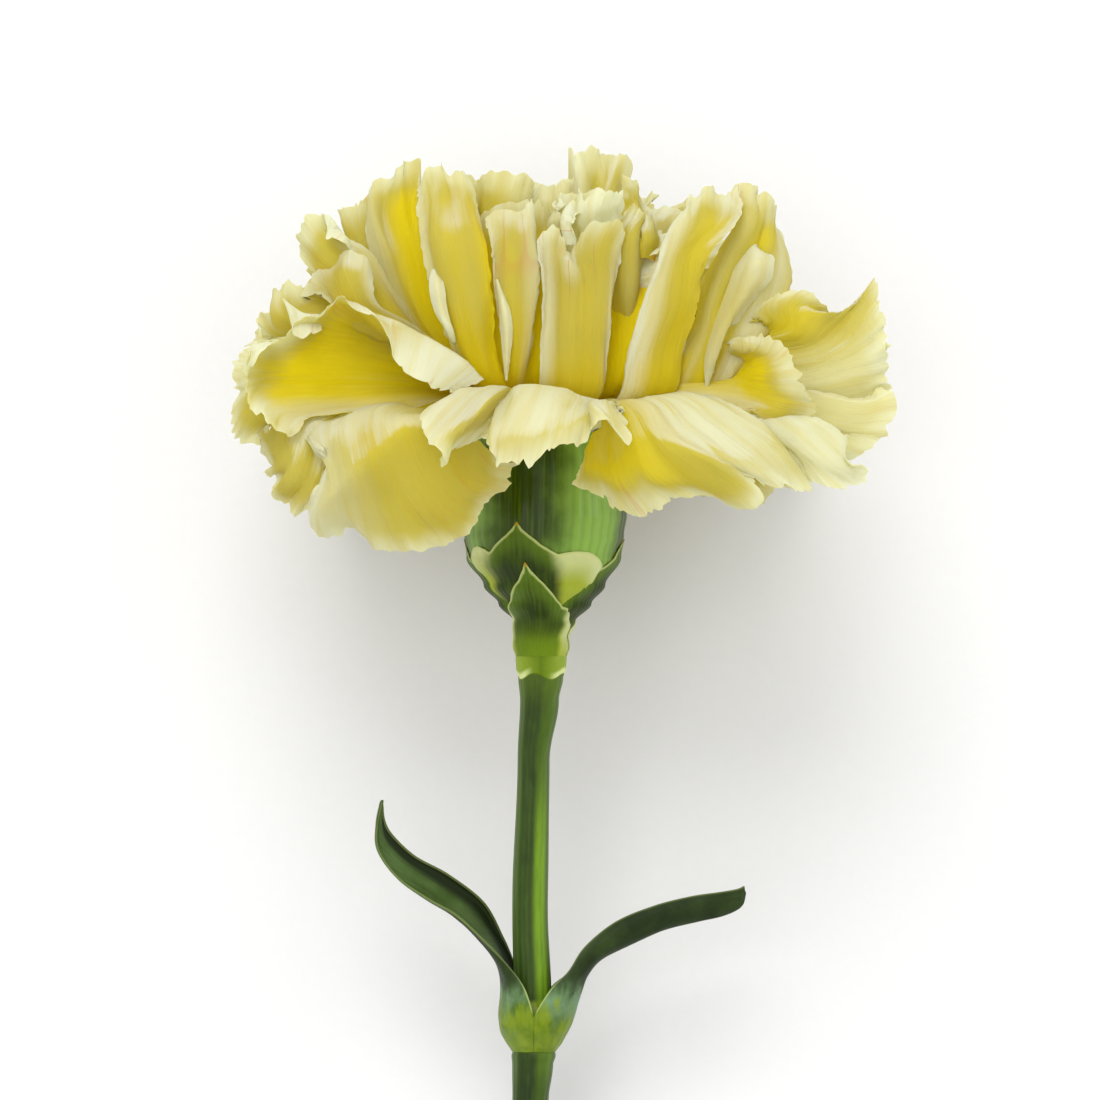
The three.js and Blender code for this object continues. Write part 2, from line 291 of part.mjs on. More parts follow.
// ---------- Small tools ----------
const { degToRad, radToDeg, lerp, smoothstep } = THREE.MathUtils;

// A Catmull-Rom curve through points that are evenly spaced over s from 0 to 1.
function spline(points, s) {
  const spans = points.length - 1;
  const k = Math.min(Math.floor(s * spans), spans - 1);
  const t = s * spans - k;
  const near = [-1, 0, 1, 2].map((i) => points[Math.min(Math.max(k + i, 0), spans)]);
  const weight = [
    (-t + 2 * t * t - t * t * t) / 2,
    (2 - 5 * t * t + 3 * t * t * t) / 2,
    (t + 4 * t * t - 3 * t * t * t) / 2,
    (-t * t + t * t * t) / 2,
  ];
  return points[0].map((_, axis) => near.reduce((sum, p, i) => sum + weight[i] * p[axis], 0));
}

// Values given at heights, joined by smooth steps: table rows are [height, value, ...].
function profile(table, h) {
  const last = table.length - 1;
  if (h <= table[0][0]) return table[0].slice(1);
  if (h >= table[last][0]) return table[last].slice(1);
  const k = table.findIndex((row) => row[0] > h) - 1;
  const t = smoothstep(h, table[k][0], table[k + 1][0]);
  return table[k].slice(1).map((value, i) => lerp(value, table[k + 1][i + 1], t));
}

// From the upright flower to the laid one, with z up from the surface.
function lay([x, h, d]) {
  return new THREE.Vector3(
    x,
    h * Math.cos(TILT) - d * Math.sin(TILT),
    h * Math.sin(TILT) + d * Math.cos(TILT) + RISE,
  );
}

function solidOf(positions, triangles) {
  const geometry = new THREE.BufferGeometry();
  geometry.setAttribute("position", new THREE.Float32BufferAttribute(positions, 3));
  geometry.setIndex(triangles);
  const merged = mergeVertices(geometry, WELD);
  return new wasm.Manifold(
    new wasm.Mesh({
      numProp: 3,
      vertProperties: merged.attributes.position.array,
      triVerts: new Uint32Array(merged.index.array),
    }),
  );
}

// The one body of a solid, with any sealed hollow filled and any loose scrap dropped.
function largestBody(solid) {
  return solid.decompose().sort((a, b) => b.volume() - a.volume())[0];
}

// The body with its surface simplified and its corners on a fine grid. Corners of two sheets that would
// touch there draw back into their own sheet.
function simpler(solid) {
  const mesh = largestBody(solid).asOriginal().simplify(SIMPLER).getMesh();
  const onGrid = Array.from(mesh.vertProperties, (value) => Math.round(value / GRID) * GRID);
  const geometry = geometryOf(largestBody(solidOf(onGrid, Array.from(mesh.triVerts))));
  const { position, normal } = geometry.attributes;
  const sharers = new Map();
  for (let i = 0; i < position.count; i++) {
    const corner = new THREE.Vector3().fromBufferAttribute(position, i);
    const key = corner.divideScalar(GRID).round().toArray().join();
    sharers.set(key, [...(sharers.get(key) ?? []), i]);
  }
  for (const i of [...sharers.values()].filter((group) => group.length > 1).flat()) {
    const outwards = new THREE.Vector3().fromBufferAttribute(normal, i);
    const corner = new THREE.Vector3().fromBufferAttribute(position, i);
    position.setXYZ(i, ...corner.addScaledVector(outwards, -DRAW_BACK));
  }
  return largestBody(solidOf(Array.from(position.array), Array.from(geometry.index.array)));
}

function geometryOf(solid) {
  const mesh = solid.getMesh();
  const geometry = new THREE.BufferGeometry();
  geometry.setAttribute("position", new THREE.BufferAttribute(mesh.vertProperties, 3));
  geometry.setIndex(new THREE.BufferAttribute(mesh.triVerts, 1));
  geometry.computeVertexNormals();
  return geometry;
}

// A thin solid between two surfaces, each a grid of points. Both faces are split into triangles alike.
function slab(outer, inner) {
  const across = outer.length - 1;
  const along = outer[0].length - 1;
  const rows = along + 1;
  const size = (across + 1) * rows;
  const positions = [...outer.flat(), ...inner.flat()].flatMap((p) => p.toArray());
  const triangles = [];
  const quad = (a, b, c, d) => triangles.push(a, b, c, a, c, d);
  const at = (i, j) => i * rows + j;
  for (let i = 0; i < across; i++) {
    for (let j = 0; j < along; j++) {
      const [a, b, c, d] = [at(i, j), at(i + 1, j), at(i + 1, j + 1), at(i, j + 1)];
      quad(a, b, c, d);
      triangles.push(a + size, c + size, b + size, a + size, d + size, c + size);
    }
  }
  const wall = (a, b) => quad(a, a + size, b + size, b);
  for (let i = 0; i < across; i++) {
    wall(at(i, 0), at(i + 1, 0));
    wall(at(i + 1, along), at(i, along));
  }
  for (let j = 0; j < along; j++) {
    wall(at(0, j + 1), at(0, j));
    wall(at(across, j), at(across, j + 1));
  }
  return solidOf(positions, triangles);
}

// The points that point(u, v) gives, u from -1 to 1 and v from 0 to 1.
function gridOf(point, across, along) {
  return Array.from({ length: across + 1 }, (_, i) =>
    Array.from({ length: along + 1 }, (_, j) => point(-1 + (2 * i) / across, j / along)),
  );
}

// A slab of even thickness round the surface that point(u, v) gives.
function blade(point, across, along, thickness) {
  const grid = gridOf(point, across, along);
  const shifted = (distance) =>
    grid.map((column, i) =>
      column.map((p, j) => {
        const widthways = grid[Math.min(i + 1, across)][j].clone().sub(grid[Math.max(i - 1, 0)][j]);
        const outwards = column[Math.min(j + 1, along)].clone().sub(column[Math.max(j - 1, 0)]);
        return p.clone().addScaledVector(widthways.cross(outwards).normalize(), distance);
      }),
    );
  return slab(shifted(thickness / 2), shifted(-thickness / 2));
}

// A solid skinned over rings of points, with a flat fan closing each end.
function loft(rings) {
  const sides = rings[0].length;
  const positions = rings.flat().flatMap((p) => p.toArray());
  const triangles = [];
  for (let r = 0; r + 1 < rings.length; r++) {
    for (let k = 0; k < sides; k++) {
      const [a, b] = [r * sides + k, r * sides + ((k + 1) % sides)];
      triangles.push(a, b, b + sides, a, b + sides, a + sides);
    }
  }
  for (const [start, order] of [[0, -1], [(rings.length - 1) * sides, 1]]) {
    const middle = positions.length / 3;
    const ring = start === 0 ? rings[0] : rings[rings.length - 1];
    const centre = ring.reduce((sum, p) => sum.add(p), new THREE.Vector3()).divideScalar(sides);
    positions.push(...centre.toArray());
    for (let k = 0; k < sides; k++) {
      const [a, b] = [start + k, start + ((k + 1) % sides)];
      triangles.push(middle, ...(order > 0 ? [a, b] : [b, a]));
    }
  }
  return solidOf(positions, triangles);
}

// A ring of points round [x, h, d], level in the upright flower, with h shifted by lean(angle).
function ring(x, h, d, radius, lean = () => 0) {
  const points = [];
  for (let k = 0; k < TUBE_SIDES; k++) {
    const angle = (2 * Math.PI * k) / TUBE_SIDES;
    points.push(lay([x + radius * Math.cos(angle), h + lean(angle), d - radius * Math.sin(angle)]));
  }
  return points;
}

// ---------- Stem ----------
// Rows of [h, x of the centreline, radius]: the slanted cut, the groove and swelling of the joint, and the
// neck below the calyx.
const STEM = [
  [CUT_H, -1.9, CUT_RADIUS],
  [-60, -1.2, 1.9],
  [-44, -0.95, 1.8],
  [-40.5, -0.75, 2.1],
  [-39.6, -0.65, 2.2],
  [-38.7, -0.6, 1.75],
  [-37.2, -0.55, 2.3],
  [-35.6, -0.55, 2.5],
  [-33.8, -0.75, 1.9],
  [-25, -1, 1.8],
  [-10, -0.65, 1.6],
  [-4, -0.1, 1.95],
  [-1.5, 0.1, 2.35],
  [0, 0.1, 2.5],
];
const STEM_STATIONS = [CUT_H, -86, -76, -66, -55, -45, -42, -40.5, -39.6, -39, -38.2, -37.2, -35.6, -34.6,
  -33.6, -30, -22, -15, -9, -5.5, -3.5, -1.8, -0.8, 0];

function stem() {
  const rings = STEM_STATIONS.map((h) => {
    const [x, radius] = profile(STEM, h);
    const slant = h === CUT_H ? (angle) => -CUT_SLANT * Math.sin(angle) : undefined;
    return ring(x, h, 0, radius, slant);
  });
  return loft(rings).trimByPlane([0, 0, 1], 0);
}

// ---------- Calyx and its bracts ----------
// Rows of [h, x of the centreline, outer radius].
const CALYX = [
  [0.3, 0.1, 1.9],
  [2.1, 0.1, 1.9],
  [3.9, 0.45, 2.6],
  [5.7, 0.5, 4.2],
  [7.5, 0.45, 5.65],
  [10.3, 0.35, 7.4],
  [12.5, 0.4, 7.95],
  [14.5, 0.5, 8.15],
  [19, 0.5, 8],
  [25, 0.5, 7.6],
];
const CALYX_STATIONS = [CALYX_FOOT_H, 2.1, 3, 3.9, 5.7, 7.5, 9, 10.3, 12.5, 15, 19];
const CALYX_TEETH = 5;

function tooth(angle) {
  const phase = ((angle * CALYX_TEETH) / (2 * Math.PI)) % 1;
  return CALYX_TOOTH * (1 - Math.abs(2 * phase - 1));
}

function calyxTube() {
  const outer = CALYX_STATIONS.map((h) => ring(profile(CALYX, h)[0], h, 0, profile(CALYX, h)[1]));
  const [rimX, rimRadius] = profile(CALYX, CALYX_RIM_H);
  const rimOuter = ring(rimX, CALYX_RIM_H, 0, rimRadius, tooth);
  const rimInner = ring(rimX, CALYX_RIM_H, 0, rimRadius - CALYX_WALL, tooth);
  const inner = [...CALYX_STATIONS]
    .reverse()
    .filter((h) => h > CORE_FOOT_H)
    .map((h) => ring(profile(CALYX, h)[0], h, 0, profile(CALYX, h)[1] - CALYX_WALL));
  const [footX, footRadius] = profile(CALYX, CORE_FOOT_H);
  const floor = ring(footX, CORE_FOOT_H - SEAT_GAP, 0, footRadius - CALYX_WALL);
  return loft([...outer, rimOuter, rimInner, ...inner, floor]);
}

// Bracts in three pairs, the innermost first: azimuth of each, half width in degrees, foot, shoulder and tip
// heights, how sharply they narrow to the tip, and how far their outer face stands off the calyx.
const BRACTS = [
  { azimuths: [110, 290], half: 88, foot: 1.1, shoulder: 10.4, tip: 13.8, point: 4.5, off: 0.5 },
  { azimuths: [0, 180], half: 84, foot: 0.8, shoulder: 4.6, tip: 12.2, point: 1.8, off: 1 },
  { azimuths: [103, 283], half: 86, foot: 0.5, shoulder: 4.4, tip: 9.8, point: 3.5, off: 1.35 },
];
const BRACT_COLUMNS = 12;
const BRACT_ROWS = 3;
const BRACT_TAPER = 0.45; // how much of the thickness a bract loses towards its margin
const BRACT_ROOT = 0.4; // how deep the inner face of a bract sinks into the calyx
const BRACT_FOOT = 0.4; // how far it stands off at its foot, as a share
const BRACT_SWELL = 0.35; // the share of its height over which that grows to all

function bract(kind, azimuth) {
  const face = (off, root) =>
    gridOf(
      (u, v) => {
        const top = lerp(kind.shoulder, kind.tip, (1 - Math.abs(u)) ** kind.point);
        const h = lerp(kind.foot, top, v);
        const [x, radius] = profile(CALYX, h);
        const angle = degToRad(azimuth - u * kind.half);
        const swell = lerp(BRACT_FOOT, 1, smoothstep(v, 0, BRACT_SWELL));
        const reach = radius - root + off * swell * (1 - BRACT_TAPER * v ** 3);
        return lay([x + reach * Math.cos(angle), h, reach * Math.sin(angle)]);
      },
      BRACT_COLUMNS,
      BRACT_ROWS,
    );
  return slab(face(kind.off, 0), face(0, BRACT_ROOT));
}

function calyx() {
  const bracts = BRACTS.flatMap((kind) => kind.azimuths.map((azimuth) => bract(kind, azimuth)));
  return simpler(wasm.Manifold.union([calyxTube(), ...bracts]));
}

// ---------- Leaves ----------
// Rows from the sheath round the joint to the tip, of [x, h, d] on the margin towards the viewer, on the
// keel, and on the far margin.
const LEFT_LEAF = [
  [[-0.85, -38.6, 2.5], [-3.1, -38.6, 0], [-0.85, -38.6, -2.5]],
  [[-0.85, -37, 3.2], [-3.6, -37.2, 0], [-0.85, -37, -3.2]],
  [[-0.8, -35.4, 3.5], [-3.8, -35.6, 0], [-0.8, -35.4, -3.5]],
  [[-1.5, -32.8, 3.3], [-3.7, -33, 0], [-1.6, -32.8, -3.2]],
  [[-2.9, -30.8, 2.8], [-4, -30.6, -0.2], [-2.5, -30.5, -2.8]],
  [[-5.3, -28.3, 2.2], [-5.3, -28, -0.8], [-3.7, -27.8, -2.3]],
  [[-8.4, -25.5, 1.8], [-7.6, -25.1, -1], [-5.7, -24.3, -1.7]],
  [[-11.4, -23.7, 1.5], [-10.7, -22.9, -0.9], [-9.2, -21.5, -1.2]],
  [[-14.2, -21.7, 1.2], [-13.7, -20.7, -0.7], [-12.6, -19.6, -0.8]],
  [[-16.2, -18.9, 0.8], [-15.7, -18.3, -0.3], [-14.8, -17.5, -0.4]],
  [[-16.3, -16.4, 0.4], [-16, -16.1, -0.1], [-15.6, -15.9, -0.2]],
  [[-15.9, -14.2, 0.1], [-15.85, -14.1, 0], [-15.75, -14, -0.1]],
];
const RIGHT_LEAF = [
  [[-0.35, -38.6, 2.5], [2, -38.6, 0], [-0.35, -38.6, -2.5]],
  [[-0.3, -37, 3.2], [2.9, -37.2, 0], [-0.3, -37, -3.2]],
  [[-0.25, -35.4, 3.5], [3.3, -35.6, 0], [-0.25, -35.4, -3.5]],
  [[1.1, -32.8, 3.2], [3.9, -33.2, 0.1], [1.1, -32.8, -3.2]],
  [[2.8, -31.1, 2.5], [4.6, -31.4, 0.2], [2.8, -31.3, -2.6]],
  [[4.5, -28.6, 1.9], [6, -29.8, 0.3], [4.4, -28.9, -2.1]],
  [[7.6, -26.1, 1.6], [8.7, -28.4, 0.3], [7.6, -26.5, -1.7]],
  [[11.5, -24.5, 1.4], [12.1, -26.8, 0.3], [11.5, -24.9, -1.5]],
  [[15.1, -23.6, 1.1], [15.6, -25.9, 0.2], [15.1, -24, -1.2]],
  [[18.3, -23.1, 0.7], [19, -25.1, 0.1], [18.3, -23.5, -0.8]],
  [[20.4, -22.8, 0.2], [20.5, -23.6, 0], [20.4, -23, -0.2]],
];
const LEAF_COLUMNS = 8;
const LEAF_ROWS = 20;
const LEAF_LEAST = 0.3; // the share of its half width that the channel keeps
const LEAF_NARROW = 0.55; // half the width at which the channel of a leaf has closed, towards its tip
const LEAF_WIDE = 1.1; // half the width from which it is fully open

// The channelled blade of a leaf: each cross-section is half an ellipse from margin to keel to margin.
// turned says that the open side of the channel is on the left of the leaf, as on the leaf on the right.
function leaf(rows, turned) {
  const flat = rows.map((row) => row.flat());
  const face = (grow, depthAt) =>
    gridOf(
      (u, v) => {
        const row = spline(flat, v);
        const [near, keel, far] = [0, 3, 6].map((start) => new THREE.Vector3(...row.slice(start, start + 3)));
        const middle = near.clone().lerp(far, 0.5);
        const halfWidth = far.sub(near).divideScalar(2);
        const depth = keel.sub(middle);
        const width = halfWidth.length();
        halfWidth.setLength(Math.max(width + grow, LEAF_LEAST * width));
        depth.setLength(Math.max(depth.length() + grow, 0) * depthAt(width));
        const angle = (u * Math.PI) / 2;
        const widthways = middle.addScaledVector(halfWidth, Math.sin(angle));
        return lay(widthways.addScaledVector(depth, Math.cos(angle)).toArray());
      },
      LEAF_COLUMNS,
      LEAF_ROWS,
    );
  const back = face(LEAF_THICKNESS / 2, () => 1);
  const channel = face(-LEAF_THICKNESS / 2, (width) => smoothstep(width, LEAF_NARROW, LEAF_WIDE));
  return turned ? slab(back, channel) : slab(channel, back);
}

// ---------- Bloom ----------
// A steady pseudo-random number from 0 to 1 for a pair of numbers.
function chance(a, b) {
  const x = Math.sin(a * 12.9898 + b * 78.233) * 43758.5453;
  return x - Math.floor(x);
}

// A point [x, h, d] at a distance from the calyx mouth, round the axis and up from level.
function around(azimuth, rise, distance) {
  const level = distance * Math.cos(degToRad(rise));
  return [
    level * Math.cos(degToRad(azimuth)),
    MOUTH_H + distance * Math.sin(degToRad(rise)),
    level * Math.sin(degToRad(azimuth)),
  ];
}

function ringPetals() {
  return RINGS.flatMap(({ azimuths, rise, reach, root }, ringNumber) =>
    azimuths.map((azimuth, k) => {
      const seed = 10 * ringNumber + k;
      const level = reach * Math.cos(degToRad(rise));
      const halfFan = Math.min(radToDeg(Math.atan(PETAL_HALF_WIDTH / level)), WIDEST_HALF_FAN);
      const own = rise + RISE_SPREAD * (chance(seed, 1.3) - 0.5);
      const waves = lerp(FEWEST_WAVES, MOST_WAVES, chance(seed, 2.9));
      const phase = chance(seed, 4.1);
      const low = Math.max(-Math.sin(degToRad(azimuth)), 0) * Math.cos(degToRad(rise));
      const rim = [];
      for (let j = 0; j < RIM_POINTS; j++) {
        const share = (2 * j) / (RIM_POINTS - 1) - 1;
        const tooth = (j % 2 ? 1 : -1) * TOOTH * (0.5 + chance(seed + 0.5, j));
        const swing = WAVE * Math.sin(2 * Math.PI * ((waves * share) / 2 + phase));
        const distance = reach * (1 - RIM_ROUNDING * share * share + FLOOR_REACH * low ** 4) + tooth;
        rim.push(around(azimuth + share * halfFan, own + radToDeg(swing / reach), distance));
      }
      const mid = [-1, 0, 1].map((share) => {
        const [x, h, d] = around(azimuth + share * halfFan * MID_FAN, own, reach * MID_REACH);
        return [x, h + ARCH * reach, d];
      });
      return { root: [azimuth, root, ROOT_WIDTH], rows: [mid, rim] };
    }),
  );
}

// The point at a share v of a smooth curve through points, from the first to the last.
function curve(points, v) {
  const last = points.length - 1;
  const steps = points.slice(1).map((point, k) => point.distanceTo(points[k]));
  const gaps = steps.map(Math.sqrt);
  const slope = (k) => points[k + 1].clone().sub(points[k]).divideScalar(gaps[k]);
  const tangent = (k) => {
    if (k === 0) return slope(0);
    if (k === last) return slope(last - 1);
    const both = slope(k - 1).multiplyScalar(gaps[k]).addScaledVector(slope(k), gaps[k - 1]);
    return both.divideScalar(gaps[k - 1] + gaps[k]);
  };
  let k = 0;
  let left = v * steps.reduce((sum, step) => sum + step, 0);
  while (k < last - 1 && left > steps[k]) {
    left -= steps[k];
    k += 1;
  }
  const t = Math.min(left / steps[k], 1);
  return points[k]
    .clone()
    .multiplyScalar(2 * t ** 3 - 3 * t ** 2 + 1)
    .addScaledVector(tangent(k), (t ** 3 - 2 * t ** 2 + t) * gaps[k])
    .addScaledVector(points[k + 1], 3 * t ** 2 - 2 * t ** 3)
    .addScaledVector(tangent(k + 1), (t ** 3 - t ** 2) * gaps[k]);
}

// Petals that would reach below the surface bend and lie along it.
const FLOOR_Z = 0.12;
const FLOOR_BEND = 0.7;
const FLOOR_ROWS = 3; // more rows of facets for the petals that lie on the surface
const FLOOR_REACH = 0.16; // how much further the lowest petals reach, as a share

function petalPoint({ root: [azimuth, radius, width], rows }, u, v) {
  const angle = degToRad(azimuth - (u * width) / 2);
  const root = [radius * Math.cos(angle), MOUTH_H, radius * Math.sin(angle)];
  const rib = [root, ...rows.map((row) => spline(row, (u + 1) / 2))];
  const point = curve(rib.map(lay), v);
  point.z = FLOOR_Z + FLOOR_BEND * Math.log1p(Math.exp((point.z - FLOOR_Z) / FLOOR_BEND));
  return point;
}

// The bundle of petal claws that fills the calyx, and the dense middle of the bloom over it, as rows of
// [h, radius].
const HEAD = [
  [28, 7.4],
  [32, 8],
  [36, 7],
  [39.5, 4],
];
const HEAD_X = 0.5;
const CLAW_STATIONS = [CORE_FOOT_H, 12.5, 16, 19, 22.3, 25.6];

function core() {
  const claws = CLAW_STATIONS.map((h) => {
    const [x, radius] = profile(CALYX, h);
    return ring(x, h, 0, radius - CALYX_WALL - SEAT_GAP);
  });
  const head = HEAD.map(([h, radius]) => ring(HEAD_X, h, 0, radius));
  return loft([...claws, ...head]);
}

const FRONT_ROWS = 4;
const MOST_COLUMNS = 8;

function bloom() {
  const slabOf = (petal, rows) => {
    const rim = petal.rows[petal.rows.length - 1];
    const columns = Math.min(rim.length - 1, MOST_COLUMNS);
    const low = petal.rows.flat().some((p) => lay(p).z < 0);
    return blade((u, v) => petalPoint(petal, u, v), columns, rows + (low ? FLOOR_ROWS : 0), PETAL_THICKNESS);
  };
  const front = FRONT_PETALS.map((petal) => slabOf(petal, FRONT_ROWS));
  const rings = ringPetals().map((petal) => slabOf(petal, RING_ROWS));
  return simpler(wasm.Manifold.union([core(), ...front, ...rings]).trimByPlane([0, 0, 1], 0));
}

// ---------- Assembly ----------
const GREEN = { color: 0x55722f, roughness: 0.55, metalness: 0 };
const PIECES = [
  ["stem", stem(), { ...GREEN, color: 0x4f6b35 }],
  ["calyx", calyx(), GREEN],
  ["leaf_left", leaf(LEFT_LEAF, false), { ...GREEN, color: 0x46603c }],
  ["leaf_right", leaf(RIGHT_LEAF, true), { ...GREEN, color: 0x46603c }],
  ["bloom", bloom(), { color: 0xe6dc7a, roughness: 0.6, metalness: 0 }],
];

const carnation = new THREE.Group();
for (const [name, solid, look] of PIECES) {
  const mesh = new THREE.Mesh(geometryOf(solid), new THREE.MeshStandardMaterial(look));
  mesh.name = name;
  carnation.add(mesh);
}

// The origin is on the surface, below the middle of the flower.
const box = new THREE.Box3().setFromObject(carnation);
const middle = box.getCenter(new THREE.Vector3());
carnation.position.set(-middle.x, -middle.y, -box.min.z);

export default carnation;
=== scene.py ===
"""A cut carnation lying on a pale floor: fine petals, calyx, bracts, stem and leaves in place of the solids.

The flower is described upright, in millimetres, as (x, h, d): x to the right, h up along the stem from
the foot of the calyx, and d towards the viewer. lay() tips it onto the floor, and object_of() moves it to
where the solids lie and turns it into metres.
"""
import math

import bpy
import numpy as np
from mathutils import Matrix, Vector


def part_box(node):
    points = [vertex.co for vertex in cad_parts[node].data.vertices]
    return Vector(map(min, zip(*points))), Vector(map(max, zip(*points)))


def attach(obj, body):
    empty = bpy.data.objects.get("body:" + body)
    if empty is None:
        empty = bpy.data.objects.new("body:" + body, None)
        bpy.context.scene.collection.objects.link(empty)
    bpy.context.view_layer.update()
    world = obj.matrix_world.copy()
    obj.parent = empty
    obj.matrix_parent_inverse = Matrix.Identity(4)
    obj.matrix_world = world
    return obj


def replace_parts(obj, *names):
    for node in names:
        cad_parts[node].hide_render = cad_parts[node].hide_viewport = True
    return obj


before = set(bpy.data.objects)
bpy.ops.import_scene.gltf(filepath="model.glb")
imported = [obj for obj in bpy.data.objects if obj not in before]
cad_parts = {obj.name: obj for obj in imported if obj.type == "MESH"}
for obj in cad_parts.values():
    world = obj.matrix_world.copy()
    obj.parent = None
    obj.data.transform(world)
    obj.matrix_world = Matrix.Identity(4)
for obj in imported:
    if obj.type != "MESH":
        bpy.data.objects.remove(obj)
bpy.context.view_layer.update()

MM = 0.001

# ---------- Driving dimensions, as in the solids ----------
TILT = math.radians(10.5)
CUT_H = -95
CUT_SLANT = 3
CUT_RADIUS = 2.05
MOUTH_H = 25.3
JOINT_H = -36.6  # the middle of the swollen joint
STEM_LEFT = 3.95  # how far the stem reaches to the left of x = 0
NECK_RADIUS = 2.5
RISE = -CUT_H * math.sin(TILT) + CUT_RADIUS * math.cos(TILT)

stem_low, stem_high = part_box("stem")
SHIFT = np.array([stem_low.x / MM + STEM_LEFT, stem_high.y / MM - NECK_RADIUS * math.sin(TILT), 0])

